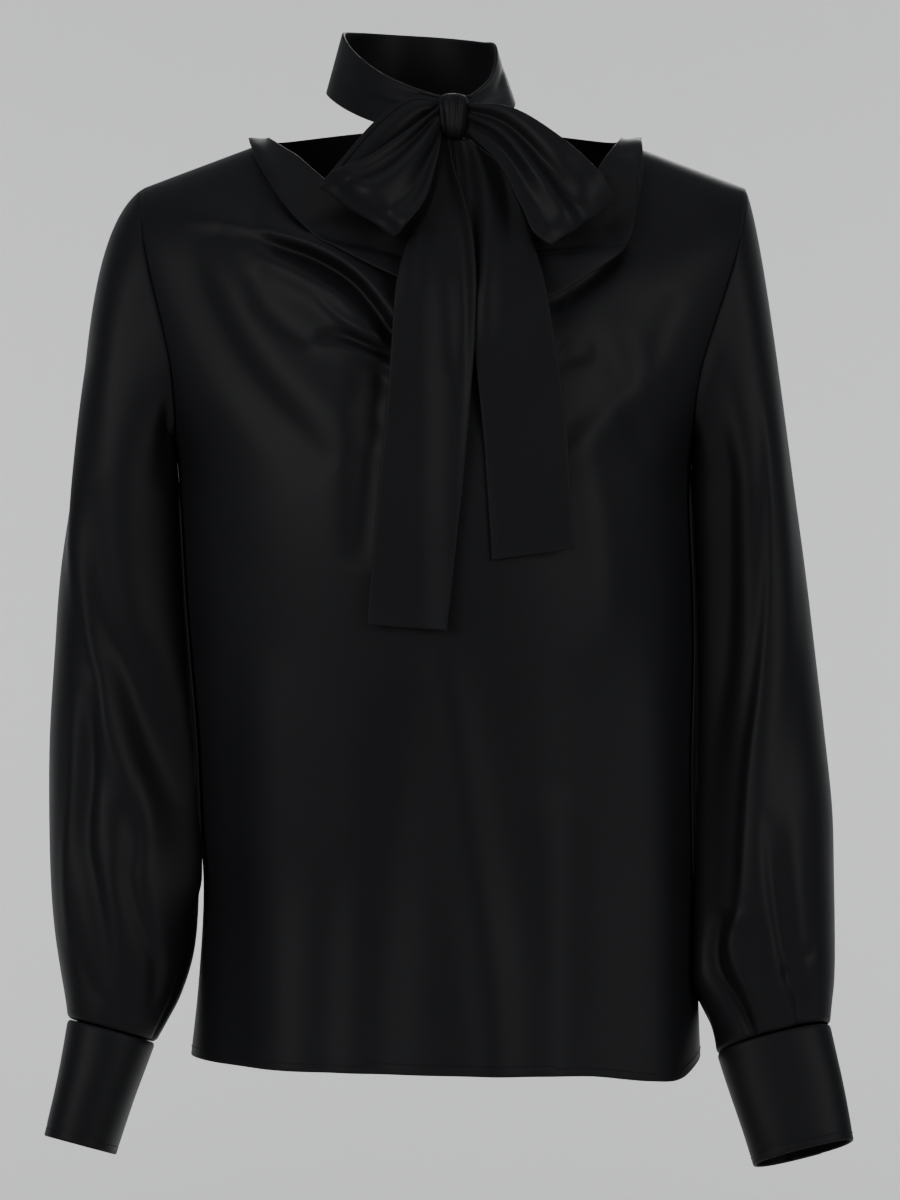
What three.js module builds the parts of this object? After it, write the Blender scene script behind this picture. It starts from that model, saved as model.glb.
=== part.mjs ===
// A long-sleeved satin blouse in its worn, filled-out form: a draped front with a turned-out cowl
// collar, a plain back, bishop sleeves pleated into deep cuffs, and a tie that goes round the neck
// and is knotted in a bow. Millimetres. +Z is up and the front faces -Y. The origin lies between
// the shoulders, level with the two points where the neckline crosses them. Right and left are the
// wearer's, so right is -X. A "drop" is a distance below the origin.

import * as THREE from "three";

// Driving dimensions
const SIDE_LENGTH = 612; // origin to hem at the side seams, on average
const NECK_HALF = 118; // centre to the point where the neckline crosses the shoulder
const SHOULDER_HALF = 203; // centre to the shoulder tip, where the sleeve head starts
const TIP_DROP = 32; // shoulder tip below the origin
const UNDERARM_DROP = 214; // foot of the armhole below the origin
const SHOULDER_SEAM_Y = 8; // the shoulder seam lies a little behind the centre
const NECK_ROUND = { front: 105, behind: 95 }; // height over which the shoulder rounds off at the neck
const TIP_ROUND = 62; // and at the shoulder tip
const NECK_RISE = { front: 40, behind: 75 }; // how far the shoulder line would rise at the neck
const BACK_NECK_RISE = 15; // centre of the back neckline above the origin
const BODY_ORDER = 2.2; // order of the superellipse of the body's section
const BICEPS_DROP = 236; // where the sleeve head becomes a tube
const SLEEVE_SQUARENESS = 0.1;
const HEAD_FULLNESS = { right: 0.55, left: 0.16 }; // how far the sleeve heads swell beside the shoulder
const HEAD_OFFSET = { right: 0.6, left: 2.1 }; // more where the cloth of the head falls steeply
const CUFF_LENGTH = 78;
const OVERLAP_TURN = 0.09; // share of a turn by which a cuff's ends lie over each other
const CLOTH = 1.5; // wall of one layer of cloth
const DOUBLE = 2.2; // wall of what is sewn double: tie, collar and cuffs
const SEAM = 0.3; // gap between pieces that are sewn together
const RESTING_GAP = 0.7; // gap between the tie's tails and the front that they lie on
const ARMHOLE_STEPS = 12; // rows of a panel beside the armhole, and half the points round a sleeve
const PANEL_ROWS = { front: 26, back: 20 };
const TOP_DENSITY = 1.6; // over 1, the rows are closer together at the top of a panel

// The body's horizontal sections: sideways shift of the centre, half width, depth before and behind.
const bodySections = [
  { drop: -40, shift: 0, half: 238, front: 52, behind: 74 },
  { drop: 0, shift: 0, half: 236, front: 64, behind: 80 },
  { drop: 32, shift: -1, half: 231, front: 76, behind: 86 },
  { drop: 77, shift: -2.5, half: 219, front: 92, behind: 91 },
  { drop: 127, shift: -4.5, half: 204, front: 108, behind: 95 },
  { drop: 174, shift: -6.5, half: 187, front: 119, behind: 96 },
  { drop: 214, shift: -7, half: 172.5, front: 125, behind: 94 },
  { drop: 257, shift: -6, half: 171.5, front: 127, behind: 90.5 },
  { drop: 300, shift: -4, half: 171, front: 125.5, behind: 87 },
  { drop: 380, shift: -1, half: 169, front: 118.5, behind: 83 },
  { drop: 450, shift: 1.5, half: 167, front: 113, behind: 87 },
  { drop: 500, shift: 3.5, half: 165.5, front: 111, behind: 92 },
  { drop: 560, shift: 2, half: 167, front: 113, behind: 97 },
  { drop: 620, shift: 0, half: 171, front: 117, behind: 101 },
];

// The hem, by the distance from the centre plane; it dips before the left side seam.
const hem = [
  { x: -170, drop: 611 },
  { x: -145, drop: 612.5 },
  { x: -70, drop: 614 },
  { x: 30, drop: 615.5 },
  { x: 95, drop: 617 },
  { x: 135, drop: 623 },
  { x: 155, drop: 625 },
  { x: 170, drop: 618 },
];

// Half width of the body at the armhole edge.
const armhole = [
  { drop: 32, half: 203 },
  { drop: 50, half: 201 },
  { drop: 77, half: 196 },
  { drop: 103, half: 189 },
  { drop: 130, half: 181 },
  { drop: 156, half: 174.5 },
  { drop: 188, half: 171 },
  { drop: 214, half: 172.5 },
];

// The collar's fold edge at the neckline and its free outer edge, from the right shoulder to the left.
const collarSections = [
  { along: 0.0, innerX: -118, innerDrop: 0, outerX: -131, outerDrop: 4 },
  { along: 0.1, innerX: -106, innerDrop: 9, outerX: -122, outerDrop: 23 },
  { along: 0.2, innerX: -96, innerDrop: 16, outerX: -105, outerDrop: 49 },
  { along: 0.3, innerX: -82, innerDrop: 29, outerX: -88, outerDrop: 67 },
  { along: 0.4, innerX: -62, innerDrop: 46, outerX: -68, outerDrop: 80 },
  { along: 0.5, innerX: -35, innerDrop: 64, outerX: -33, outerDrop: 98 },
  { along: 0.58, innerX: -5, innerDrop: 75, outerX: 5, outerDrop: 113 },
  { along: 0.66, innerX: 28, innerDrop: 80, outerX: 38, outerDrop: 119 },
  { along: 0.74, innerX: 58, innerDrop: 76, outerX: 68, outerDrop: 112 },
  { along: 0.8, innerX: 76, innerDrop: 65, outerX: 95, outerDrop: 95 },
  { along: 0.86, innerX: 88, innerDrop: 50, outerX: 116, outerDrop: 78 },
  { along: 0.91, innerX: 96, innerDrop: 33, outerX: 123, outerDrop: 57 },
  { along: 0.96, innerX: 105, innerDrop: 17, outerX: 129, outerDrop: 31 },
  { along: 1.0, innerX: 118, innerDrop: 0, outerX: 131, outerDrop: 4 },
];
const COLLAR_LIFT = { inner: 0.5, outer: 4 }; // how far the collar stands off the front

// Folds of the front: soft ridges (height over 0) and troughs (under 0) from one point to another.
// bow is how far the middle is pushed sideways, and width is the distance at which a fold fades.
const frontFolds = [
  { x0: -150, drop0: 58, x1: -24, drop1: 114, bow: 4, width: 10, height: 4 },
  { x0: -116, drop0: 74, x1: -28, drop1: 142, bow: 8, width: 8, height: -5 },
  { x0: -128, drop0: 82, x1: -36, drop1: 146, bow: 11, width: 10, height: 4.5 },
  { x0: -98, drop0: 128, x1: -24, drop1: 160, bow: 2, width: 10, height: -3.5 },
  { x0: -190, drop0: 50, x1: -30, drop1: 270, bow: -14, width: 22, height: -5 },
  { x0: -160, drop0: 60, x1: -10, drop1: 250, bow: -16, width: 24, height: 3.5 },
  { x0: 56, drop0: 138, x1: 128, drop1: 162, bow: 8, width: 11, height: 4 },
  { x0: 92, drop0: 104, x1: 140, drop1: 196, bow: 4, width: 16, height: -4 },
  { x0: 62, drop0: 224, x1: 122, drop1: 166, bow: 0, width: 10, height: 3.5 },
  { x0: 4, drop0: 330, x1: 36, drop1: 700, bow: 0, width: 18, height: 5.5 },
  { x0: -22, drop0: 380, x1: -42, drop1: 740, bow: 0, width: 24, height: -5 },
  { x0: -120, drop0: 400, x1: -112, drop1: 760, bow: 0, width: 26, height: 4 },
  { x0: 96, drop0: 400, x1: 110, drop1: 760, bow: 0, width: 28, height: -4 },
  { x0: 140, drop0: 380, x1: 146, drop1: 760, bow: 0, width: 18, height: 4 },
];
const backFolds = [
  { x0: -70, drop0: 180, x1: -84, drop1: 700, bow: 0, width: 26, height: 4 },
  { x0: 8, drop0: 260, x1: 14, drop1: 700, bow: 0, width: 30, height: -5 },
  { x0: 84, drop0: 200, x1: 92, drop1: 700, bow: 0, width: 26, height: 4 },
];

// Sections of the sleeves: x of the outer and inner side as distances from the centre plane, y of
// the middle, half depth, tilt of the section's outer side upwards, and forward lean of its foot.
const sleeveSections = {
  right: [
    { drop: 236, outer: 250, inner: 180.5, y: 8, deep: 64, tilt: 0, lean: 0 },
    { drop: 290, outer: 258, inner: 178.5, y: 10, deep: 62, tilt: 0, lean: 0 },
    { drop: 345, outer: 262, inner: 175, y: 9, deep: 60, tilt: 0, lean: 2 },
    { drop: 400, outer: 265, inner: 172, y: 6, deep: 59, tilt: 0, lean: 4 },
    { drop: 450, outer: 265, inner: 168.5, y: 1, deep: 58, tilt: 1, lean: 6 },
    { drop: 500, outer: 263.5, inner: 165, y: -5, deep: 57, tilt: 4, lean: 8 },
    { drop: 535, outer: 261, inner: 167, y: -9, deep: 53, tilt: 8, lean: 8 },
    { drop: 562, outer: 257.5, inner: 175, y: -13, deep: 46, tilt: 12, lean: 8 },
    { drop: 582, outer: 254, inner: 185, y: -15, deep: 41, tilt: 14, lean: 8 },
    { drop: 595, outer: 252, inner: 192, y: -17, deep: 37, tilt: 15, lean: 8 },
  ],
  left: [
    { drop: 236, outer: 234.5, inner: 168, y: 8, deep: 64, tilt: 0, lean: 0 },
    { drop: 290, outer: 242, inner: 169.5, y: 10, deep: 62, tilt: 0, lean: 0 },
    { drop: 345, outer: 248.5, inner: 170.5, y: 9, deep: 60, tilt: 0, lean: 2 },
    { drop: 400, outer: 254.5, inner: 171, y: 5, deep: 59, tilt: 0, lean: 6 },
    { drop: 450, outer: 259, inner: 171.5, y: -2, deep: 58, tilt: 0, lean: 9 },
    { drop: 500, outer: 259.5, inner: 171.8, y: -11, deep: 57, tilt: 1, lean: 11 },
    { drop: 540, outer: 259.5, inner: 172.5, y: -19, deep: 51, tilt: 4, lean: 13 },
    { drop: 568, outer: 259, inner: 174.5, y: -26, deep: 43, tilt: 9, lean: 15 },
    { drop: 587, outer: 257.5, inner: 177.5, y: -30, deep: 34, tilt: 13, lean: 16 },
    { drop: 599, outer: 256.3, inner: 179, y: -33, deep: 29, tilt: 14, lean: 16 },
  ],
};

// Folds and pleats of the sleeves, placed by the turn round the sleeve (0 on the outer side, 0.25
// in front, 0.5 at the body, 0.75 behind) and the drop. width is in turns.
const sleeveFolds = {
  right: [
    { turn0: 0.1, drop0: 210, turn1: 0.34, drop1: 500, width: 0.045, height: 4 },
    { turn0: 0.2, drop0: 180, turn1: 0.4, drop1: 430, width: 0.05, height: -4.5 },
    { turn0: 0.15, drop0: 380, turn1: 0.2, drop1: 588, width: 0.035, height: -4.5 },
    { turn0: 0.24, drop0: 470, turn1: 0.29, drop1: 592, width: 0.03, height: -3.5 },
    { turn0: 0.21, drop0: 440, turn1: 0.245, drop1: 590, width: 0.03, height: 3 },
    { turn0: 0.68, drop0: 460, turn1: 0.7, drop1: 590, width: 0.03, height: -4 },
    { turn0: 0.82, drop0: 450, turn1: 0.81, drop1: 590, width: 0.03, height: -4 },
  ],
  left: [
    { turn0: 0.2, drop0: 120, turn1: 0.26, drop1: 420, width: 0.04, height: 4 },
    { turn0: 0.3, drop0: 150, turn1: 0.38, drop1: 560, width: 0.05, height: -4.5 },
    { turn0: 0.16, drop0: 400, turn1: 0.215, drop1: 597, width: 0.03, height: -4 },
    { turn0: 0.31, drop0: 500, turn1: 0.285, drop1: 598, width: 0.03, height: -4.5 },
    { turn0: 0.25, drop0: 420, turn1: 0.25, drop1: 597, width: 0.035, height: 3 },
    { turn0: 0.68, drop0: 460, turn1: 0.7, drop1: 594, width: 0.03, height: -4 },
    { turn0: 0.82, drop0: 450, turn1: 0.81, drop1: 594, width: 0.03, height: -4 },
  ],
};

// Half width and half depth of each cuff at its lower edge.
const cuffFoot = {
  right: { half: 24.5, deep: 35 },
  left: { half: 34, deep: 23 },
};

// The tie's stretch round the neck, from the knot round the right side and the back to the knot.
const bandSections = [
  { along: 0.0, topX: -6.3, topY: -64, top: 19, footX: -6.3, footY: -65, foot: 3 },
  { along: 0.06, topX: -20, topY: -58, top: 26, footX: -21, footY: -61, foot: 2 },
  { along: 0.14, topX: -40, topY: -44, top: 39, footX: -44, footY: -48, foot: 6 },
  { along: 0.23, topX: -59, topY: -20, top: 56, footX: -66, footY: -24, foot: 18 },
  { along: 0.32, topX: -67, topY: 8, top: 72, footX: -78, footY: 6, foot: 31 },
  { along: 0.42, topX: -57, topY: 42, top: 77, footX: -66, footY: 46, foot: 36 },
  { along: 0.5, topX: -33, topY: 61, top: 78, footX: -37, footY: 68, foot: 37 },
  { along: 0.58, topX: -2, topY: 61, top: 76, footX: 1, footY: 68, foot: 36 },
  { along: 0.68, topX: 23, topY: 43, top: 71, footX: 32, footY: 48, foot: 31 },
  { along: 0.79, topX: 32.5, topY: 8, top: 64, footX: 45.5, footY: 8, foot: 25 },
  { along: 0.9, topX: 30, topY: -26, top: 41, footX: 38, footY: -27, foot: 12 },
  { along: 1.0, topX: 16.9, topY: -62, top: 19, footX: 16.9, footY: -63, foot: 3 },
];
const KNOT = { x: 5.5, y: -70, drop: -8, halfX: 11.3, halfY: 12, halfZ: 14 };

// The two edges of each bow loop, from the knot out to its end and back to the knot. "upper" and
// "lower" are the strip's edges.
const loopSections = {
  right: [
    { along: 0.0, upperX: -6.7, upperY: -67, upperDrop: -19, lowerX: -6.7, lowerY: -67, lowerDrop: -9 },
    { along: 0.12, upperX: -24, upperY: -70, upperDrop: -20, lowerX: -12, lowerY: -75, lowerDrop: 13 },
    { along: 0.24, upperX: -46, upperY: -76, upperDrop: -4, lowerX: -18, lowerY: -86, lowerDrop: 36 },
    { along: 0.36, upperX: -66, upperY: -84, upperDrop: 19, lowerX: -27, lowerY: -99, lowerDrop: 58 },
    { along: 0.5, upperX: -82, upperY: -97, upperDrop: 41, lowerX: -34, lowerY: -115, lowerDrop: 74 },
    { along: 0.6, upperX: -71, upperY: -108, upperDrop: 31, lowerX: -27, lowerY: -122, lowerDrop: 68 },
    { along: 0.72, upperX: -50, upperY: -108, upperDrop: 25, lowerX: -17, lowerY: -116, lowerDrop: 48 },
    { along: 0.86, upperX: -25, upperY: -94, upperDrop: 4, lowerX: -10, lowerY: -99, lowerDrop: 20 },
    { along: 1.0, upperX: -6.7, upperY: -77, upperDrop: -14, lowerX: -6.7, lowerY: -78, lowerDrop: -2 },
  ],
  left: [
    { along: 0.0, upperX: 17.1, upperY: -65, upperDrop: -15, lowerX: 17.1, lowerY: -65, lowerDrop: -6 },
    { along: 0.14, upperX: 42, upperY: -68, upperDrop: -12, lowerX: 38, lowerY: -72, lowerDrop: 7 },
    { along: 0.28, upperX: 70, upperY: -74, upperDrop: 5, lowerX: 50, lowerY: -84, lowerDrop: 34 },
    { along: 0.4, upperX: 94, upperY: -82, upperDrop: 26, lowerX: 60, lowerY: -99, lowerDrop: 60 },
    { along: 0.5, upperX: 111, upperY: -94, upperDrop: 50, lowerX: 70, lowerY: -116, lowerDrop: 79 },
    { along: 0.6, upperX: 98, upperY: -103, upperDrop: 27, lowerX: 63, lowerY: -120, lowerDrop: 66 },
    { along: 0.72, upperX: 74, upperY: -102, upperDrop: 7, lowerX: 53, lowerY: -114, lowerDrop: 38 },
    { along: 0.86, upperX: 44, upperY: -92, upperDrop: -13, lowerX: 39, lowerY: -99, lowerDrop: 9 },
    { along: 1.0, upperX: 17.1, upperY: -76, upperDrop: -17, lowerX: 17.1, lowerY: -76, lowerDrop: -3 },
  ],
};
const LOOP_GATHERS = 2.5; // waves across a loop where the knot gathers it
const LOOP_GATHER_DEPTH = 1.5;

// The hanging tails: x of both edges, and y of the tail where it hangs free.
const tailSections = {
  right: [
    { drop: 6.6, from: -4, to: 3, y: -74 },
    { drop: 22, from: -3, to: 5, y: -80.5 },
    { drop: 42, from: -7, to: 11, y: -90 },
    { drop: 60, from: -14, to: 16, y: -98.5 },
    { drop: 76, from: -24, to: 19, y: -106 },
    { drop: 100, from: -31, to: 20.5, y: -115 },
    { drop: 120, from: -33, to: 20, y: -119.5 },
    { drop: 150, from: -35, to: 18.5, y: -123.5 },
    { drop: 200, from: -39, to: 14.5, y: -127.5 },
    { drop: 250, from: -44, to: 10, y: -129.5 },
    { drop: 326, from: -50, to: 1.5, y: -129.5 },
  ],
  left: [
    { drop: 6.6, from: 6, to: 15, y: -74 },
    { drop: 22, from: 7, to: 34, y: -80.5 },
    { drop: 42, from: 9, to: 45, y: -90 },
    { drop: 60, from: 11, to: 52, y: -98.5 },
    { drop: 76, from: 13, to: 57, y: -106 },
    { drop: 100, from: 15, to: 64, y: -115 },
    { drop: 120, from: 16.5, to: 67.5, y: -119.5 },
    { drop: 150, from: 19, to: 72.5, y: -123.5 },
    { drop: 200, from: 24.5, to: 78.5, y: -126 },
    { drop: 240, from: 27.5, to: 81, y: -127.5 },
    { drop: 279, from: 30, to: 84, y: -127.5 },
  ],
};
const TAIL_OVER = { height: 3.3, from: -16, to: 6 }; // the right tail rises to lie over the left one

// The cuff buttons: two on each cuff, set on the overlap behind the wrist.
const BUTTON = { radius: 5.5, height: 3, down: [0.3, 0.7] };

const { clamp, smoothstep, lerp } = THREE.MathUtils;
const signOf = { right: -1, left: 1 };

// One column of a table at any place between its rows: a cubic through the rows.
function read(table, column, at) {
  const key = Object.keys(table[0])[0];
  const last = table.length - 1;
  const slope = (i) => {
    const [a, b] = [table[Math.max(i - 1, 0)], table[Math.min(i + 1, last)]];
    return (b[column] - a[column]) / (b[key] - a[key]);
  };
  let i = 0;
  while (i < last - 1 && table[i + 1][key] < at) i++;
  const [a, b] = [table[i], table[i + 1]];
  const span = b[key] - a[key];
  const t = clamp((at - a[key]) / span, 0, 1);
  return cubic(a[column], b[column], slope(i) * span, slope(i + 1) * span, t);
}

// A cubic from a to b that leaves with slope p and arrives with slope q.
function cubic(a, b, p, q, t) {
  const rest = 1 - t;
  return a * rest * rest * (1 + 2 * t) + b * t * t * (3 - 2 * t) + rest * t * (p * rest - q * t);
}

// Height of all the folds of a list at one point: each fades as a bell across its line, and
// swells quickly from nothing at its ends to its height in the middle.
function foldHeight(folds, x, drop) {
  let sum = 0;
  for (const fold of folds) {
    const [runX, runDrop] = [fold.x1 - fold.x0, fold.drop1 - fold.drop0];
    const length = Math.hypot(runX, runDrop);
    const along = ((x - fold.x0) * runX + (drop - fold.drop0) * runDrop) / length ** 2;
    if (along <= 0 || along >= 1) continue;
    const aside = ((drop - fold.drop0) * runX - (x - fold.x0) * runDrop) / length;
    const off = (aside - fold.bow * 4 * along * (1 - along)) / fold.width;
    sum += fold.height * Math.exp(-off * off) * (1 - (2 * along - 1) ** 4);
  }
  return sum;
}

// How far the body's section stands out at a distance from its centre plane, as a share of its depth.
function swell(distance, half) {
  const share = Math.min(1, Math.abs(distance) / half);
  return (1 - share ** BODY_ORDER) ** (1 / BODY_ORDER);
}

// Drop of the shoulder line; inside the neckline it is the line to which the cloth would rise.
function shoulderDrop(x, rise) {
  const out = Math.abs(x);
  if (out < NECK_HALF) return -rise * (1 - (out / NECK_HALF) ** 2);
  return (TIP_DROP * (out - NECK_HALF)) / (SHOULDER_HALF - NECK_HALF);
}

// A point of the body's surface, before (face -1) or behind (face 1), with a list of folds on it
// and lifted outwards by some distance.
function bodyPoint(face, x, drop, folds = [], lift = 0) {
  const key = face < 0 ? "front" : "behind";
  const [shift, half] = [read(bodySections, "shift", drop), read(bodySections, "half", drop)];
  const depth = read(bodySections, key, drop);
  const tip = smoothstep(Math.abs(x), NECK_HALF, SHOULDER_HALF);
  const height = lerp(NECK_ROUND[key], TIP_ROUND, tip);
  const below = Math.max(0, drop - shoulderDrop(x, NECK_RISE[key])) / height;
  const rounding = Math.sqrt(1 - (1 - Math.min(1, below)) ** 2);
  const full = face * depth * swell(x - shift, half);
  const y = SHOULDER_SEAM_Y * (1 - rounding) + full * rounding + (face * SEAM) / 2;
  const outwards = new THREE.Vector3((x - shift) / half ** 2, full / depth ** 2, 0);
  outwards.z = (1 - rounding) * outwards.length();
  outwards.normalize();
  const push = lift + foldHeight(folds, x, drop) * rounding;
  return new THREE.Vector3(x, y, -drop).addScaledVector(outwards, push);
}

// The neckline of the front follows the collar's fold edge.
const neckline = collarSections.map((row) => ({ x: row.innerX, drop: row.innerDrop }));
const frontTop = (x) =>
  Math.abs(x) < NECK_HALF ? read(neckline, "drop", x) : shoulderDrop(x, 0);
const backTop = (x) =>
  Math.abs(x) < NECK_HALF
    ? -BACK_NECK_RISE * (1 - (x / NECK_HALF) ** 2)
    : shoulderDrop(x, 0);

// Drop of a panel's side edge at a row: down the armhole as round a circle, then down the side seam.
function edgeDrop(row, rows) {
  if (row < ARMHOLE_STEPS) {
    const turned = (Math.PI * row) / ARMHOLE_STEPS;
    return lerp(TIP_DROP, UNDERARM_DROP, (1 - Math.cos(turned)) / 2);
  }
  return lerp(UNDERARM_DROP, SIDE_LENGTH, (row - ARMHOLE_STEPS) / (rows - ARMHOLE_STEPS));
}

// x of a panel's column u, from -1 at the right edge to 1 at the left one, at a drop. Inner columns
// keep their share of the width, and the outermost follow the armhole.
const INNER_SPREAD = THREE.MathUtils.degToRad(70);
function columnX(u, drop) {
  const half = read(bodySections, "half", drop);
  const reach = drop < UNDERARM_DROP ? Math.min(1, read(armhole, "half", drop) / half) : 1;
  const angle = INNER_SPREAD * u + (Math.asin(reach) - INNER_SPREAD) * Math.sign(u) * u ** 4;
  return read(bodySections, "shift", drop) + half * Math.sin(angle);
}

// A body panel between its top edge and the hem.
function panel(face, topEdge, folds, rows) {
  const tops = new Map();
  const topOf = (u) => {
    if (!tops.has(u)) {
      let drop = 0;
      for (let pass = 0; pass < 24; pass++) drop = topEdge(columnX(u, drop));
      tops.set(u, drop);
    }
    return tops.get(u);
  };
  return (u, v) => {
    const atEdge = (edgeDrop(v * rows, rows) - TIP_DROP) / (SIDE_LENGTH - TIP_DROP);
    const share = lerp(v ** TOP_DENSITY, atEdge, u ** 8);
    const hemDrop = read(hem, "drop", columnX(u, SIDE_LENGTH));
    const foot = lerp(SIDE_LENGTH, hemDrop, face < 0 ? 1 - u ** 8 : 0);
    const drop = lerp(topOf(u), foot, share);
    return bodyPoint(face, columnX(u, drop), drop, folds);
  };
}

const frontAt = panel(-1, frontTop, frontFolds, PANEL_ROWS.front);
const backAt = panel(1, backTop, backFolds, PANEL_ROWS.back);

// The collar lies on the front: v runs from its fold edge to its free edge. Its columns are closer
// together towards the shoulders, where it bends most.
function collarAt(u, v) {
  const along = (1 - Math.cos(Math.PI * u)) / 2;
  const edge = (column) => read(collarSections, column, along);
  const x = lerp(edge("innerX"), edge("outerX"), v);
  const drop = lerp(edge("innerDrop"), edge("outerDrop"), v);
  const stand = lerp(COLLAR_LIFT.inner, COLLAR_LIFT.outer, smoothstep(v, 0, 1));
  return bodyPoint(-1, x, drop, [], SEAM + DOUBLE + stand);
}

// A point of the armhole just outside the panels' edge: turn 0 at the shoulder tip, 0.25 in front,
// 0.5 at the underarm, 0.75 behind.
function armholePoint(side, turn) {
  const drop = lerp(TIP_DROP, UNDERARM_DROP, (1 - Math.cos(2 * Math.PI * turn)) / 2);
  const x = read(bodySections, "shift", drop) + signOf[side] * read(armhole, "half", drop);
  const front = turn % 1 < 0.5;
  const point = bodyPoint(front ? -1 : 1, x, drop, front ? frontFolds : backFolds);
  point.x += signOf[side] * HEAD_OFFSET[side];
  return point;
}

// A point of a sleeve's tube at a turn and a drop along it.
function sleevePoint(side, turn, drop) {
  const sign = signOf[side];
  const [outer, inner, y, deep, tilt, lean] = ["outer", "inner", "y", "deep", "tilt", "lean"].map(
    (column) => read(sleeveSections[side], column, drop),
  );
  const angle = 2 * Math.PI * turn;
  const [c, s] = [Math.cos(angle), Math.sin(angle)];
  const half = (outer - inner) / 2;
  const out = new THREE.Vector2(c / half, -s / deep).normalize();
  const fold = sleeveFoldHeight(side, turn, drop);
  const local = {
    x: half * c * (1 + SLEEVE_SQUARENESS * s * s) + out.x * fold,
    y: -deep * s * (1 + SLEEVE_SQUARENESS * c * c) + out.y * fold,
  };
  return tipped(sign, { x: (outer + inner) / 2, y, drop }, local, tilt, lean);
}

// Folds of a sleeve: foldHeight with the turn in place of x, and its run taken along the drop.
function sleeveFoldHeight(side, turn, drop) {
  let sum = 0;
  for (const fold of sleeveFolds[side]) {
    const along = (drop - fold.drop0) / (fold.drop1 - fold.drop0);
    if (along <= 0 || along >= 1) continue;
    const off = (turn - lerp(fold.turn0, fold.turn1, along)) / fold.width;
    sum += fold.height * Math.exp(-off * off) * (1 - (2 * along - 1) ** 4);
  }
  return sum;
}

// Puts a section's own point into place: tilted so that its outer side rises, and leaning forwards.
function tipped(sign, centre, local, tilt, lean) {
  const [a, b] = [THREE.MathUtils.degToRad(tilt), THREE.MathUtils.degToRad(lean)];
  return new THREE.Vector3(
    sign * (centre.x + local.x * Math.cos(a)),
    centre.y + local.y * Math.cos(b),
    -centre.drop + local.x * Math.sin(a) - local.y * Math.sin(b),
  );
}

// The sleeve head: each lengthwise thread is a cubic from the armhole to the biceps section.
function headPoint(side, turn, share) {
  const start = armholePoint(side, turn);
  const end = sleevePoint(side, turn, BICEPS_DROP);
  const reach = start.distanceTo(end);
  const high = (1 + Math.cos(2 * Math.PI * turn)) / 2;
  const sideways = signOf[side] * HEAD_FULLNESS[side] * (0.65 + 0.35 * high);
  const leave = new THREE.Vector3(sideways, 0, -0.4).multiplyScalar(reach);
  const arrive = new THREE.Vector3(0, 0, -reach);
  return new THREE.Vector3(
    cubic(start.x, end.x, leave.x, arrive.x, share),
    cubic(start.y, end.y, leave.y, arrive.y, share),
    cubic(start.z, end.z, leave.z, arrive.z, share),
  );
}

const HEAD_SHARE = 0.36; // share of a sleeve's rows in its head
function sleeveAt(side) {
  const foot = sleeveSections[side].at(-1).drop;
  return (u, v) =>
    v < HEAD_SHARE
      ? headPoint(side, u, v / HEAD_SHARE)
      : sleevePoint(side, u, lerp(BICEPS_DROP, foot, (v - HEAD_SHARE) / (1 - HEAD_SHARE)));
}

// A cuff is a strip wound once round the wrist, whose end passes over its start behind the wrist.
const CUFF_START = 0.72; // turn at which the strip starts
const CUFF_STEP = { from: 0.76, to: 0.93 }; // share of the strip where it steps over its start
function cuffAt(side) {
  const sign = signOf[side];
  const wrist = sleeveSections[side].at(-1);
  const foot = cuffFoot[side];
  const half = (wrist.outer - wrist.inner) / 2;
  const [a, b] = [wrist.tilt, wrist.lean].map(THREE.MathUtils.degToRad);
  return (u, v, lift = 0) => {
    const turn = CUFF_START + u * (1 + OVERLAP_TURN);
    const angle = 2 * Math.PI * turn;
    const [c, s] = [Math.cos(angle), Math.sin(angle)];
    const step = (DOUBLE + SEAM) * smoothstep(u, CUFF_STEP.from, CUFF_STEP.to);
    const size = { half: lerp(half, foot.half, v), deep: lerp(wrist.deep, foot.deep, v) };
    const out = new THREE.Vector2(c / size.half, -s / size.deep).normalize();
    const local = {
      x: size.half * c * (1 + SLEEVE_SQUARENESS * s * s) + out.x * (step + lift),
      y: -size.deep * s * (1 + SLEEVE_SQUARENESS * c * c) + out.y * (step + lift),
    };
    const down = 2 * SEAM + v * CUFF_LENGTH;
    const centre = {
      x: (wrist.outer + wrist.inner) / 2 + down * Math.sin(a) * Math.cos(b),
      y: wrist.y - down * Math.sin(b),
      drop: wrist.drop + down * Math.cos(a) * Math.cos(b),
    };
    return tipped(sign, centre, local, wrist.tilt, wrist.lean);
  };
}

// The band round the neck: v runs from its top edge to its foot.
function bandAt(u, v) {
  const [topX, topY, top, footX, footY, foot] = ["topX", "topY", "top", "footX", "footY", "foot"].map(
    (column) => read(bandSections, column, u),
  );
  return new THREE.Vector3(lerp(topX, footX, v), lerp(topY, footY, v), lerp(top, foot, v));
}

// A bow loop: u runs along the strip and v from its upper to its lower edge, gathered at the knot.
function loopAt(side) {
  const table = loopSections[side];
  return (u, v) => {
    const edge = (name) =>
      new THREE.Vector3(
        read(table, name + "X", u),
        read(table, name + "Y", u),
        -read(table, name + "Drop", u),
      );
    const point = edge("upper").lerp(edge("lower"), v);
    const gathered = Math.sin(2 * Math.PI * u) ** 2;
    point.y += LOOP_GATHER_DEPTH * gathered * Math.sin(2 * Math.PI * LOOP_GATHERS * v);
    return point;
  };
}

// A tail hangs from the knot, and lies on the front wherever that stands out further.
function tailAt(side) {
  const table = tailSections[side];
  return (u, v) => {
    const drop = lerp(table[0].drop, table.at(-1).drop, v);
    const x = lerp(read(table, "from", drop), read(table, "to", drop), u);
    const front = bodyPoint(-1, x, drop, frontFolds, RESTING_GAP + DOUBLE);
    const over = side === "right" ? TAIL_OVER.height * smoothstep(x, TAIL_OVER.from, TAIL_OVER.to) : 0;
    return new THREE.Vector3(x, Math.min(front.y, read(table, "y", drop)) - over, -drop);
  };
}

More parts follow.
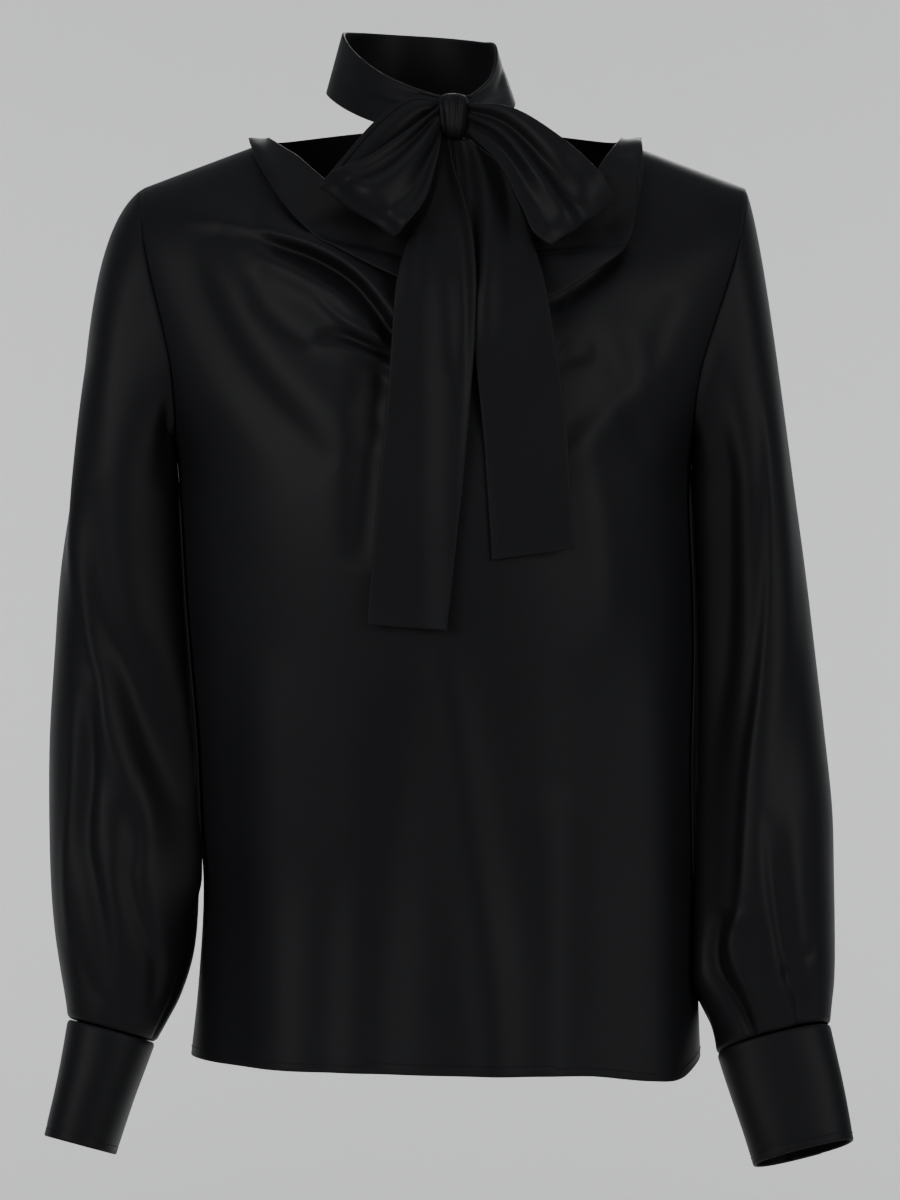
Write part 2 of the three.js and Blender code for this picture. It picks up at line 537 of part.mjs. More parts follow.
// A cloth piece as a closed wall: a grid of points worked out by place(u, v), and the same grid
// moved inwards by the wall's thickness. facing is 1 where u then v turn right-handed about the
// outward direction, and -1 otherwise. A ring joins its last column to its first.
function cloth(name, place, { across, down, u = [0, 1], facing = 1, ring = false, wall, colour }) {
  const columns = ring ? across : across + 1;
  const grid = { outer: [], inner: [] };
  const tiny = 1e-4;
  for (let j = 0; j <= down; j++)
    for (let i = 0; i < columns; i++) {
      const [s, t] = [lerp(u[0], u[1], i / across), j / down];
      const [s0, s1] = ring ? [s - tiny, s + tiny] : [Math.max(u[0], s - tiny), Math.min(u[1], s + tiny)];
      const [t0, t1] = [Math.max(0, t - tiny), Math.min(1, t + tiny)];
      const normal = place(s1, t)
        .sub(place(s0, t))
        .normalize()
        .cross(place(s, t1).sub(place(s, t0)).normalize())
        .normalize();
      const point = place(s, t);
      grid.outer.push(point);
      grid.inner.push(point.clone().addScaledVector(normal, -facing * wall));
    }
  const points = [...grid.outer, ...grid.inner];
  const below = grid.outer.length;
  const faces = [];
  const quad = (a, b, c, d) => faces.push(...(facing > 0 ? [a, b, c, a, c, d] : [a, c, b, a, d, c]));
  const at = (i, j) => j * columns + (i % columns);
  for (let j = 0; j < down; j++)
    for (let i = 0; i < across; i++) {
      const [a, b, c, d] = [at(i, j), at(i + 1, j), at(i + 1, j + 1), at(i, j + 1)];
      quad(a, b, c, d);
      quad(a + below, d + below, c + below, b + below);
    }
  const rim = (a, b) => quad(b, a, a + below, b + below);
  for (let i = 0; i < across; i++) {
    rim(at(i, 0), at(i + 1, 0));
    rim(at(i + 1, down), at(i, down));
  }
  if (!ring)
    for (let j = 0; j < down; j++) {
      rim(at(0, j + 1), at(0, j));
      rim(at(across, j), at(across, j + 1));
    }
  const geometry = new THREE.BufferGeometry().setFromPoints(points).setIndex(faces);
  return piece(name, geometry, colour);
}

const BLACK_SATIN = 0x0a0a0c;
function piece(name, geometry, colour = BLACK_SATIN) {
  geometry.computeVertexNormals();
  const material = new THREE.MeshStandardMaterial({ color: colour, roughness: 0.42, metalness: 0 });
  const mesh = new THREE.Mesh(geometry, material);
  mesh.name = name;
  return mesh;
}

// The knot: a rounded block, narrower at its foot, with a crease down its front.
function knot() {
  const geometry = new THREE.SphereGeometry(1, 20, 14);
  const block = (value) => Math.sign(value) * Math.abs(value) ** 0.62;
  const places = geometry.getAttribute("position");
  for (let i = 0; i < places.count; i++) {
    const [x, y, z] = [block(places.getX(i)), block(places.getZ(i)), block(places.getY(i))];
    const crease = 1.2 * Math.exp(-(((x - 0.25) / 0.14) ** 2)) * Math.max(0, -y);
    const taper = 0.9 + 0.1 * z;
    places.setXYZ(
      i,
      KNOT.x + KNOT.halfX * x * taper,
      KNOT.y + KNOT.halfY * y + crease,
      -KNOT.drop + KNOT.halfZ * z,
    );
  }
  // The sphere's own axis is y and the knot's is z, which turns its faces round.
  const order = geometry.getIndex().array;
  for (let i = 0; i < order.length; i += 3) [order[i], order[i + 1]] = [order[i + 1], order[i]];
  return piece("tie_knot", geometry);
}

// A covered button: a low dome on a flat back, standing on the cuff's overlap.
function button(side, number) {
  const { radius, height } = BUTTON;
  const dome = [0, 0.25, 0.5, 0.75, 1].map((step) => {
    const angle = (step * Math.PI) / 2;
    return new THREE.Vector2(radius * Math.cos(angle), height * (0.4 + 0.6 * Math.sin(angle)));
  });
  dome[dome.length - 1].x = 0;
  const profile = [new THREE.Vector2(0, 0), new THREE.Vector2(radius, 0), ...dome];
  const geometry = new THREE.LatheGeometry(profile, 16);
  const mesh = piece(`cuff_button_${side}_${number + 1}`, geometry);
  const place = cuffAt(side);
  const [u, v] = [1 - OVERLAP_TURN / 2 / (1 + OVERLAP_TURN), BUTTON.down[number]];
  const seat = place(u, v, SEAM + 0.25);
  const out = place(u, v, SEAM + 1.25).sub(seat).normalize();
  mesh.position.copy(seat);
  mesh.quaternion.setFromUnitVectors(new THREE.Vector3(0, 1, 0), out);
  return mesh;
}

const blouse = new THREE.Group();
blouse.add(
  cloth("front", frontAt, { across: 38, down: PANEL_ROWS.front, u: [-1, 1], facing: -1, wall: CLOTH }),
  cloth("back", backAt, { across: 24, down: PANEL_ROWS.back, u: [-1, 1], facing: 1, wall: CLOTH }),
  cloth("collar", collarAt, { across: 32, down: 3, facing: -1, wall: DOUBLE }),
  cloth("tie_band", bandAt, { across: 36, down: 2, facing: -1, wall: DOUBLE }),
  knot(),
);
for (const side of ["right", "left"]) {
  const facing = signOf[side];
  blouse.add(
    cloth(`sleeve_${side}`, sleeveAt(side), {
      across: 2 * ARMHOLE_STEPS,
      down: 25,
      facing,
      ring: true,
      wall: CLOTH,
    }),
    cloth(`cuff_${side}`, cuffAt(side), { across: 30, down: 2, facing, wall: DOUBLE }),
    cloth(`bow_loop_${side}`, loopAt(side), { across: 22, down: 5, facing, wall: DOUBLE }),
    cloth(`tie_tail_${side}`, tailAt(side), { across: 4, down: 16, facing: -1, wall: DOUBLE }),
    button(side, 0),
    button(side, 1),
  );
}

export default blouse;
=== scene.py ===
# %% [markdown]
# # A black satin blouse with a neck tie
#
# The blouse hangs as it does when it is worn, with nobody in it. Its solids are already in the frame
# that the CAD model gives: every panel, sleeve, cuff and stretch of the tie is a node there. The
# solids have the true size and the true form, but a wall of 1.5 mm and facets 10 mm wide, so here each
# of them gets a piece of thin, finely folded cloth that stands in the same place.
#
# All the surfaces are functions of two parameters, worked out with numpy as whole arrays. That keeps
# the shape in a few tables of sizes that can be read and changed, where sculpting would not.

import bpy
import numpy as np
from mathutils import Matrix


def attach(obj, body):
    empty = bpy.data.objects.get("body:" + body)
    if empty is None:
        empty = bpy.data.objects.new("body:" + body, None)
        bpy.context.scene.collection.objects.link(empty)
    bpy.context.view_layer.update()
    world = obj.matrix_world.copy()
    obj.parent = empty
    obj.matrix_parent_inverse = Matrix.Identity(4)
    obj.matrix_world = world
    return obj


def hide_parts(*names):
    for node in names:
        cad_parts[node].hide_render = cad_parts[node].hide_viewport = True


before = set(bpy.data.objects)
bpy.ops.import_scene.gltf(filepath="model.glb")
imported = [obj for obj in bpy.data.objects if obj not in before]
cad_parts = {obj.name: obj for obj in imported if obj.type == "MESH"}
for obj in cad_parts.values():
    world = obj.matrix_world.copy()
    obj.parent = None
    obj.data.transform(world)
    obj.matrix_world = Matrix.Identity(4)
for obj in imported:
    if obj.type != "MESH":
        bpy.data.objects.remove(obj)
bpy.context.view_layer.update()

# %% [markdown]
# ## Tables of sizes and the curves through them
#
# A tailor writes a garment down as measures taken at some heights. A table here is the same: its
# first column is the place of the measure, and the other columns are the measures. Between two rows
# a cubic curve is used, which leaves each row with the slope between its neighbours, so that the
# cloth has no kink at a row. Everything is in millimetres until a mesh is made, and a "drop" is a
# distance below the shoulders' height.

# %% Curves through a table
MM = 0.001


def lerp(a, b, share):
    """The value that lies a share of the way from a to b."""
    return a + (b - a) * share


def smooth(x, low, high):
    """0 below low, 1 above high, and between them the S-curve 3t squared minus 2t cubed."""
    t = np.clip((x - low) / (high - low), 0, 1)
    return t * t * (3 - 2 * t)


def bell(distance, width):
    """A bell: e to the power of minus the square of distance over width."""
    return np.exp(-((distance / width) ** 2))


def cubic(a, b, leave, arrive, t):
    """The cubic from a to b over t from 0 to 1, with slope leave at its start and arrive at its end."""
    rest = 1 - t
    return a * rest**2 * (1 + 2 * t) + b * t**2 * (3 - 2 * t) + rest * t * (leave * rest - arrive * t)


def read(table, column, at):
    """One column of a table at any places: a cubic through its rows, with slopes from the neighbours."""
    keys, values = table[:, 0], table[:, column]
    before = np.maximum(np.arange(len(keys)) - 1, 0)
    after = np.minimum(np.arange(len(keys)) + 1, len(keys) - 1)
    slopes = (values[after] - values[before]) / (keys[after] - keys[before])
    i = np.clip(np.searchsorted(keys, at) - 1, 0, len(keys) - 2)
    span = keys[i + 1] - keys[i]
    t = np.clip((at - keys[i]) / span, 0, 1)
    return cubic(values[i], values[i + 1], slopes[i] * span, slopes[i + 1] * span, t)


def unit(vectors):
    """The vectors, each divided by its length."""
    return vectors / np.maximum(np.linalg.norm(vectors, axis=-1, keepdims=True), 1e-9)


# %% [markdown]
# ## Folds
#
# Satin falls in soft folds: a ridge or a trough follows a line over the cloth, is highest in the
# middle of the line and fades out at its ends and to both sides. One side is often steeper than the
# other, because the cloth leans over its own fold. A simulation would give folds too, but not these
# ones. So each fold is drawn as a line of a few points, with a height and the two distances over
# which it fades.

# %% Height of a set of folds
SAMPLES = 48


def curve_through(points, count):
    """Points along the smooth curve through a few points, spaced evenly in the curve's parameter."""
    points = np.array(points, float)
    table = np.column_stack([np.arange(len(points)), points])
    at = np.linspace(0, len(points) - 1, count)
    return np.column_stack([read(table, 1, at), read(table, 2, at)])


def fold_height(folds, x, drop):
    """Sum of the folds: height times a bell of the distance to the line, times 1 - (2s - 1)^4 along it.

    The bell is wide on one side of the line and may be narrow on the other: the first width is that
    on the line's left as it is followed, seen with the drop pointing down.
    """
    total = np.zeros(np.shape(x))
    for height, width_left, width_right, points in folds:
        line = curve_through(points, SAMPLES)
        reach = 3 * max(width_left, width_right)
        low, high = line.min(axis=0) - reach, line.max(axis=0) + reach
        near = (x > low[0]) & (x < high[0]) & (drop > low[1]) & (drop < high[1])
        if not near.any():
            continue
        here = np.column_stack([x[near], drop[near]])
        starts, runs = line[:-1], np.diff(line, axis=0)
        away = here[:, None] - starts
        share = np.clip((away * runs).sum(-1) / (runs**2).sum(-1), 0, 1)
        gap = away - share[..., None] * runs
        distance = np.linalg.norm(gap, axis=-1)
        closest = distance.argmin(axis=1)
        pick = np.arange(len(here)), closest
        side = runs[closest, 0] * gap[pick][:, 1] - runs[closest, 1] * gap[pick][:, 0]
        width = np.where(side < 0, width_left, width_right)
        along = (closest + share[pick]) / (SAMPLES - 1)
        total[near] += height * bell(distance[pick], width) * (1 - (2 * along - 1) ** 4)
    return total


# %% [markdown]
# ## From a grid of points to a piece of cloth
#
# Cloth has two faces and an edge that is rounded, because it is turned in or folded over. So a piece
# is built from one grid of points: the outer face lies half a wall outside the middle of the cloth and
# the inner face half a wall inside, and near each edge the half wall shrinks like the end of a
# rounded bar until the two faces meet. Where a piece is sewn to its neighbour, the seam pulls it in,
# so that the two pieces meet in a soft groove. A solidify modifier would give a square edge and no
# groove.

# %% Faces, edges and seams of a cloth piece
FINE_STEPS = np.array([0, 0.12, 0.35, 0.75, 1.3, 2.1, 3.2, 4.6])


def steps(count, length, fine_ends=(True, True)):
    """Shares from 0 to 1: count even steps, with finer ones over the last millimetres before an edge."""
    fine = FINE_STEPS / length
    even = np.linspace(0, 1, count + 1)
    low, high = fine_ends
    kept = even[(even > (fine[-1] if low else -1)) & (even < (1 - fine[-1] if high else 2))]
    return np.concatenate([fine if low else [], kept, 1 - fine[::-1] if high else []])


def arc(points, axis):
    """Distance along each grid line from its first point, in the points' unit."""
    lengths = np.linalg.norm(np.diff(points, axis=axis), axis=-1)
    start = np.zeros_like(np.take(lengths, [0], axis=axis))
    return np.concatenate([start, np.cumsum(lengths, axis=axis)], axis=axis)


def outward(points, facing, ring):
    """Direction out of the cloth: the cross product of its steps across and down."""
    if ring:
        across = np.roll(points, -1, axis=1) - np.roll(points, 1, axis=1)
    else:
        across = np.gradient(points, axis=1)
    return facing * unit(np.cross(unit(across), unit(np.gradient(points, axis=0))))


def edge_distances(points, ring):
    """Distances in the cloth from its top, bottom, first and last edge; a ring has no side edges."""
    down, across = arc(points, 0), arc(points, 1)
    far = np.full(points.shape[:2], 1e3)
    sides = (far, far) if ring else (across, across[:, -1:] - across)
    return {"top": down, "bottom": down[-1:] - down, "first": sides[0], "last": sides[1]}


SEAM_DEPTH = 0.7
SEAM_ROLL = 1.5


def walls(points, wall, facing, ring, sewn, seam_depth):
    """Outer and inner face: the middle of the cloth plus and minus half its wall, rounded off at edges.

    The half wall is w/2 times the square root of 1 - (1 - d / (w/2)) squared, with d the distance
    from the nearest edge. Before that, sewn edges are pulled in by a bell of d.
    """
    gaps = edge_distances(points, ring)
    normal = outward(points, facing, ring)
    pulled = np.zeros(points.shape[:2])
    for name in sewn:
        pulled = np.maximum(pulled, bell(gaps[name], SEAM_ROLL))
    middle = points - normal * (wall / 2 + seam_depth * pulled)[..., None]
    nearest = np.minimum.reduce(list(gaps.values()))
    half = wall / 2 * np.sqrt(np.maximum(1 - (1 - np.clip(nearest / (wall / 2), 0, 1)) ** 2, 0.01))
    return middle + normal * half[..., None], middle - normal * half[..., None], nearest, pulled


# %% Grids into meshes
def grid_faces(rows, columns, ring):
    """The squares of a grid, as four point numbers each, turning from across to down."""
    j, i = np.meshgrid(np.arange(rows - 1), np.arange(columns if ring else columns - 1), indexing="ij")
    beside = (i + 1) % columns
    corners = [j * columns + i, j * columns + beside, (j + 1) * columns + beside, (j + 1) * columns + i]
    return np.stack(corners, axis=-1).reshape(-1, 4)


def rim_faces(rows, columns, ring):
    """Squares that join the border of the outer grid to that of the inner grid."""
    below = rows * columns
    i = np.arange(columns if ring else columns - 1)
    last = (rows - 1) * columns
    pairs = [np.column_stack([(i + 1) % columns, i]), np.column_stack([i, (i + 1) % columns]) + last]
    if not ring:
        j = np.arange(rows - 1) * columns
        pairs += [np.column_stack([j, j + columns]), np.column_stack([j + columns, j]) + columns - 1]
    a, b = np.concatenate(pairs).T
    return np.column_stack([a, b, b + below, a + below])


def mesh_object(name, points, faces, uv, pressed):
    """A mesh of squares (or triangles, with -1 as the fourth point), in metres, with smooth shading."""
    mesh = bpy.data.meshes.new(name)
    corners = faces.ravel()
    corners = corners[corners >= 0]
    sizes = (faces >= 0).sum(axis=1)
    mesh.vertices.add(len(points))
    mesh.vertices.foreach_set("co", (points * MM).astype(np.float32).ravel())
    mesh.loops.add(len(corners))
    mesh.loops.foreach_set("vertex_index", corners.astype(np.int32))
    mesh.polygons.add(len(faces))
    mesh.polygons.foreach_set("loop_start", (np.cumsum(sizes) - sizes).astype(np.int32))
    mesh.polygons.foreach_set("use_smooth", np.ones(len(faces), bool))
    layer = mesh.uv_layers.new(name="cloth")
    layer.data.foreach_set("uv", (uv[corners] * MM).astype(np.float32).ravel())
    layer = mesh.attributes.new("pressed", "FLOAT", "POINT")
    layer.data.foreach_set("value", pressed.astype(np.float32))
    mesh.update(calc_edges=True)
    mesh.validate()
    obj = bpy.data.objects.new(name, mesh)
    bpy.context.scene.collection.objects.link(obj)
    return obj


def cloth(name, points, wall, facing=1, ring=False, sewn=(), seam_depth=SEAM_DEPTH):
    """A cloth piece with two faces from a grid of points on its outer face."""
    wall = np.broadcast_to(wall, points.shape[:2])
    outer, inner, nearest, pulled = walls(points, wall, facing, ring, sewn, seam_depth)
    rows, columns = points.shape[:2]
    faces = grid_faces(rows, columns, ring)
    rim = rim_faces(rows, columns, ring)
    below = rows * columns
    if facing > 0:
        faces = np.concatenate([faces, faces[:, ::-1] + below, rim])
    else:
        faces = np.concatenate([faces[:, ::-1], faces + below, rim[:, ::-1]])
    places = np.concatenate([outer.reshape(-1, 3), inner.reshape(-1, 3)])
    uv = np.stack([arc(points, 1), arc(points, 0)], axis=-1).reshape(-1, 2)
    pressed = np.maximum(bell(nearest, 2.5) * 0.8, pulled).ravel()
    return mesh_object(name, places, faces, np.tile(uv, (2, 1)), np.tile(pressed, 2))


# %% [markdown]
# ## The satin
#
# Satin is woven so that long threads float on its face, which gives it a soft, broad shine along the
# folds and almost no grain. It is near black, so nearly all that is seen is the light on it. One
# material serves the whole blouse. Its nodes give what a flat colour would miss: the fine lines of
# the threads as a bump, a faint crepe grain, a little unevenness in the shine, and a slightly duller,
# paler line where a seam or an edge was pressed.

# %% A helper that writes shader maths as plain expressions
class Value:
    """A socket of a node tree; an expression on it adds the Math nodes that work it out."""

    def __init__(self, tree, socket):
        self.tree = tree
        self.socket = socket

    def _math(self, operation, *terms):
        values = [t.socket if isinstance(t, Value) else t for t in terms]
        return Nodes(self.tree).add("ShaderNodeMath", {"operation": operation}, values)

    def __add__(self, other):
        return self._math("ADD", self, other)

    def __mul__(self, other):
        return self._math("MULTIPLY", self, other)

    __radd__ = __add__
    __rmul__ = __mul__


class Nodes:
    """Adds nodes to a tree: a type, settings that are set first, then values or links of its inputs."""

    def __init__(self, tree):
        self.tree = tree

    def add(self, kind, settings=None, inputs=(), output=0):
        node = self.tree.nodes.new(kind)
        for key, value in (settings or {}).items():
            setattr(node, key, value)
        pairs = inputs.items() if isinstance(inputs, dict) else enumerate(inputs)
        for key, value in pairs:
            value = value.socket if isinstance(value, Value) else value
            if isinstance(value, bpy.types.NodeSocket):
                self.tree.links.new(value, node.inputs[key])
            else:
                node.inputs[key].default_value = value
        return Value(self.tree, node.outputs[output]) if node.outputs else None


# %% The satin's nodes
SATIN_DARK = (0.0045, 0.0045, 0.0052, 1)
SATIN_PALE = (0.0085, 0.0085, 0.0096, 1)
THREADS_PER_METRE = 2600
GRAIN_PER_METRE = 900


def satin_material():
    """Near-black satin: thread lines along the cloth's own length, grain, and duller pressed edges."""
    material = bpy.data.materials.new("satin")
    material.use_nodes = True
    tree = material.node_tree
    tree.nodes.clear()
    nodes = Nodes(tree)
    along = nodes.add("ShaderNodeUVMap", {"uv_map": "cloth"})
    place = nodes.add("ShaderNodeTexCoord", output="Object")
    pressed = nodes.add("ShaderNodeAttribute", {"attribute_name": "pressed"}, output="Fac")
    stretched = nodes.add(
        "ShaderNodeMapping",
        inputs={"Vector": along, "Scale": (THREADS_PER_METRE, THREADS_PER_METRE / 14, 1)},
    )
    threads = nodes.add("ShaderNodeTexNoise", inputs={"Vector": stretched, "Scale": 1, "Detail": 1})
    grain = nodes.add(
        "ShaderNodeTexNoise", inputs={"Vector": along, "Scale": GRAIN_PER_METRE, "Detail": 2}
    )
    clouds = nodes.add("ShaderNodeTexNoise", inputs={"Vector": place, "Scale": 14, "Detail": 2})
    height = threads * 0.6 + grain * 0.4
    bump = nodes.add(
        "ShaderNodeBump", inputs={"Strength": 0.10, "Distance": 0.0003, "Height": height}
    )
    shade = clouds * 0.5 + threads * 0.3 + pressed * 0.25
    colour = nodes.add(
        "ShaderNodeMix",
        {"data_type": "RGBA"},
        {"Factor": shade, 6: SATIN_DARK, 7: SATIN_PALE},
        output=2,
    )
    roughness = 0.45 + clouds * 0.06 + threads * 0.04 + pressed * 0.06
    surface = nodes.add(
        "ShaderNodeBsdfPrincipled",
        inputs={
            "Base Color": colour,
            "Roughness": roughness,
            "Normal": bump,
            "IOR": 1.46,
            "Specular IOR Level": 0.13,
            "Sheen Weight": 0.01,
            "Sheen Roughness": 0.4,
        },
    )
    nodes.add("ShaderNodeOutputMaterial", inputs={"Surface": surface})
    return material


SATIN = satin_material()
print("satin nodes:", len(SATIN.node_tree.nodes))


def finish_piece(piece, replaced=()):
    """Gives a piece the satin and puts it on the blouse's one body, in place of its solid."""
    piece.data.materials.append(SATIN)
    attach(piece, "root")
    if replaced:
        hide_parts(*replaced)
    return piece


# %% [markdown]
# ## The form of the body
#
# The front and the back follow one form: at each height the worn blouse is a rounded oval, wide at
# the shoulders, closer at the waist, and a little wider again at the hem. The oval is a
# superellipse. Near the top the form rounds over to the shoulder seam, as a quarter circle does.

# %% Sizes of the body
NECK_HALF = 118
SHOULDER_HALF = 203
TIP_DROP = 32
UNDERARM_DROP = 214
SIDE_LENGTH = 612
SHOULDER_SEAM_Y = 8
BODY_ORDER = 2.2
TIP_ROUND = 62
NECK_ROUND = {-1: 105, 1: 95}
NECK_RISE = {-1: 40, 1: 75}
SEAM = 0.3

# drop, shift of the centre, half width, depth before, depth behind
BODY = np.array([
    [-40, 0, 238, 52, 74],
    [0, 0, 236, 64, 80],
    [32, -1, 231, 76, 86],
    [77, -2.5, 219, 92, 91],
    [127, -4.5, 204, 108, 95],
    [174, -6.5, 187, 119, 96],
    [214, -7, 172.5, 125, 94],
    [257, -6, 171.5, 127, 90.5],
    [300, -4, 171, 125.5, 87],
    [380, -1, 169, 118.5, 83],
    [450, 1.5, 167, 113, 87],
    [500, 3.5, 165.5, 111, 92],
    [560, 2, 167, 113, 97],
    [620, 0, 171, 117, 101],
])
# x, drop of the hem
HEM = np.array([
    [-170, 611], [-145, 612.5], [-70, 614], [30, 615.5], [95, 617], [135, 623], [155, 625], [170, 618],
])
# drop, half width at the armhole
ARMHOLE = np.array([
    [32, 203], [50, 201], [77, 196], [103, 189], [130, 181], [156, 174.5], [188, 171], [214, 172.5],
])


def shoulder_drop(x, rise):
    """Drop of the shoulder line; inside the neckline, of a parabola that would rise above it."""
    out = np.abs(x)
    inside = -rise * (1 - (out / NECK_HALF) ** 2)
    outside = TIP_DROP * (out - NECK_HALF) / (SHOULDER_HALF - NECK_HALF)
    return np.where(out < NECK_HALF, inside, outside)


def body_point(face, x, drop, folds=(), lift=0.0):
    """A point of the body's form before (face -1) or behind (face 1), pushed out by folds and lift.

    The depth is the section's depth times the superellipse (1 - |x|^2.2)^(1/2.2), times the rounding
    at the top, a quarter circle: the square root of 1 - (1 - height below the seam) squared.
    """
    depth_column = 3 if face < 0 else 4
    shift, half = read(BODY, 1, drop), read(BODY, 2, drop)
    depth = read(BODY, depth_column, drop)
    round_height = lerp(NECK_ROUND[face], TIP_ROUND, smooth(np.abs(x), NECK_HALF, SHOULDER_HALF))
    below = np.maximum(0, drop - shoulder_drop(x, NECK_RISE[face])) / round_height
    rounding = np.sqrt(1 - (1 - np.minimum(1, below)) ** 2)
    swell = (1 - np.minimum(1, np.abs(x - shift) / half) ** BODY_ORDER) ** (1 / BODY_ORDER)
    full = face * depth * swell
    y = SHOULDER_SEAM_Y * (1 - rounding) + full * rounding + face * SEAM / 2
    level = np.stack([(x - shift) / half**2, full / depth**2], axis=-1)
    upward = (1 - rounding) * np.linalg.norm(level, axis=-1)
    normal = unit(np.concatenate([level, upward[..., None]], axis=-1))
    push = lift + fold_height(folds, x, drop) * rounding
    return np.stack([x, y, -drop], axis=-1) + normal * push[..., None]


# %% [markdown]
# ## The front
#
# The front is one piece of cloth, cut wide at the neck so that it hangs in a drape. Its folds fall
# from the right shoulder towards the middle, as a deep cowl pulled under the tie, with a second, softer
# group from the left. The table gives each of them: its height over the cloth (below 0 for a trough),
# how far it fades to either side, and the points it runs through.

# %% Folds of the front
FRONT_FOLDS = [
    # The drape from the right shoulder
    (7.0, 13, 6, [(-175, 56), (-134, 62), (-100, 72), (-72, 84), (-52, 100), (-34, 126), (-26, 140)]),
    (-7.5, 5, 6, [(-122, 74), (-90, 84), (-63, 100), (-46, 118), (-34, 136), (-26, 150)]),
    (5.0, 6, 10, [(-146, 64), (-113, 86), (-92, 98), (-70, 110), (-56, 124), (-40, 142), (-26, 152)]),
    (1.8, 3, 4, [(-84, 110), (-70, 123), (-57, 132), (-42, 138), (-28, 141)]),
    (-4.5, 4, 4, [(-84, 136), (-65, 138), (-50, 144), (-34, 151), (-22, 157)]),
    (2.0, 3, 6, [(-88, 143), (-66, 145), (-50, 150), (-34, 158), (-22, 164)]),
    (-1.6, 8, 6, [(-128, 92), (-118, 116), (-100, 134), (-84, 142)]),
    (-4.0, 13, 18, [
        (-180, 52), (-168, 86), (-155, 118), (-138, 150), (-119, 176), (-100, 197), (-74, 228),
    ]),
    (2.2, 16, 20, [(-150, 70), (-138, 112), (-112, 150), (-86, 176), (-56, 205), (-30, 232)]),
    (-1.6, 5, 5, [(-130, 54), (-124, 58), (-118, 62)]),
    # Waves beside the tie's tails
    (-1.3, 6, 8, [(-64, 158), (-46, 162), (-32, 174)]),
    (-1.1, 7, 9, [(-64, 186), (-46, 190), (-32, 204)]),
    (-0.8, 8, 10, [(-66, 220), (-48, 222), (-36, 234)]),
    (-6.0, 13, 12, [(-34, 128), (-40, 160), (-46, 195), (-50, 235), (-54, 290)]),
    # The left side of the chest
    (1.6, 12, 14, [(88, 112), (101, 126), (116, 137), (127, 152), (124, 172), (114, 184)]),
    (-1.8, 7, 6, [(66, 150), (84, 150), (98, 146)]),
    (-5.0, 9, 8, [(62, 118), (80, 110), (96, 99), (108, 86), (114, 72)]),
    (2.3, 9, 14, [(70, 226), (85, 211), (101, 193), (118, 176), (132, 166)]),
    (-2.2, 12, 12, [(96, 108), (112, 150), (124, 190), (130, 220)]),
    (-1.2, 6, 11, [(154, 104), (146, 124), (138, 144), (132, 160)]),
    (2.0, 12, 14, [(88, 190), (96, 230), (104, 290), (102, 340)]),
    # Long soft folds down to the hem
    (5.5, 17, 15, [(-4, 330), (6, 400), (18, 480), (30, 570), (38, 720)]),
    (-5.0, 22, 20, [(-24, 360), (-32, 440), (-40, 540), (-44, 740)]),
    (3.5, 22, 22, [(-122, 340), (-114, 430), (-108, 560), (-106, 760)]),
    (-3.5, 18, 18, [(-140, 330), (-142, 430), (-140, 560), (-138, 760)]),
    (-3.5, 24, 24, [(96, 340), (102, 430), (106, 560), (108, 760)]),
    (3.5, 15, 15, [(136, 330), (140, 430), (144, 560), (148, 760)]),
    (2.5, 16, 16, [(70, 430), (72, 520), (70, 600), (68, 760)]),
    (-2.5, 12, 12, [(-72, 470), (-74, 540), (-76, 620), (-78, 760)]),
]
BACK_FOLDS = [
    (4.0, 24, 22, [(-68, 150), (-76, 300), (-84, 450), (-88, 740)]),
    (-5.0, 28, 26, [(6, 200), (10, 330), (14, 480), (18, 740)]),
    (4.0, 24, 24, [(82, 170), (88, 320), (92, 470), (96, 740)]),
    (-3.0, 18, 16, [(-120, 150), (-112, 230), (-98, 320), (-92, 420)]),
    (-3.0, 16, 18, [(128, 150), (122, 240), (110, 330), (104, 430)]),
    (2.5, 16, 12, [(-130, 420), (-128, 520), (-126, 620), (-124, 740)]),
    (2.5, 14, 14, [(48, 400), (50, 500), (52, 600), (54, 740)]),
    (-2.0, 12, 12, [(-40, 430), (-42, 520), (-44, 620), (-46, 740)]),
    (1.8, 9, 10, [(-150, 214), (-120, 232), (-84, 240), (-50, 236)]),
    (1.8, 10, 9, [(150, 216), (118, 236), (80, 244), (44, 240)]),
]

# drop of the neckline: along x
NECKLINE = np.array([
    [-118, 0], [-106, 9], [-96, 16], [-82, 29], [-62, 46], [-35, 64], [-5, 75], [28, 80], [58, 76],
    [76, 65], [88, 50], [96, 33], [105, 17], [118, 0],
])
BACK_NECK_RISE = 15


def front_top(x):
    """Drop of the front's top edge: the draped neckline, then the shoulder seam."""
    return np.where(np.abs(x) < NECK_HALF, read(NECKLINE, 1, x), shoulder_drop(x, 0))


def back_top(x):
    """Drop of the back's top edge: a shallow parabola behind the neck, then the shoulder seam."""
    inside = -BACK_NECK_RISE * (1 - (x / NECK_HALF) ** 2)
    return np.where(np.abs(x) < NECK_HALF, inside, shoulder_drop(x, 0))


# %% Panels between their top edge and the hem
ARMHOLE_STEPS = 12
TOP_DENSITY = 1.6
INNER_SPREAD = np.radians(70)


def column_x(u, drop):
    """x of column u (-1 to 1) at a drop: half the width times the sine of an even spread of angles.

    The outermost columns turn away from the even spread, with the fourth power of u, to follow the
    armhole.
    """
    half = read(BODY, 2, drop)
    reach = np.where(drop < UNDERARM_DROP, np.minimum(1, read(ARMHOLE, 1, drop) / half), 1)
    angle = INNER_SPREAD * u + (np.arcsin(reach) - INNER_SPREAD) * np.sign(u) * u**4
    return read(BODY, 1, drop) + half * np.sin(angle)


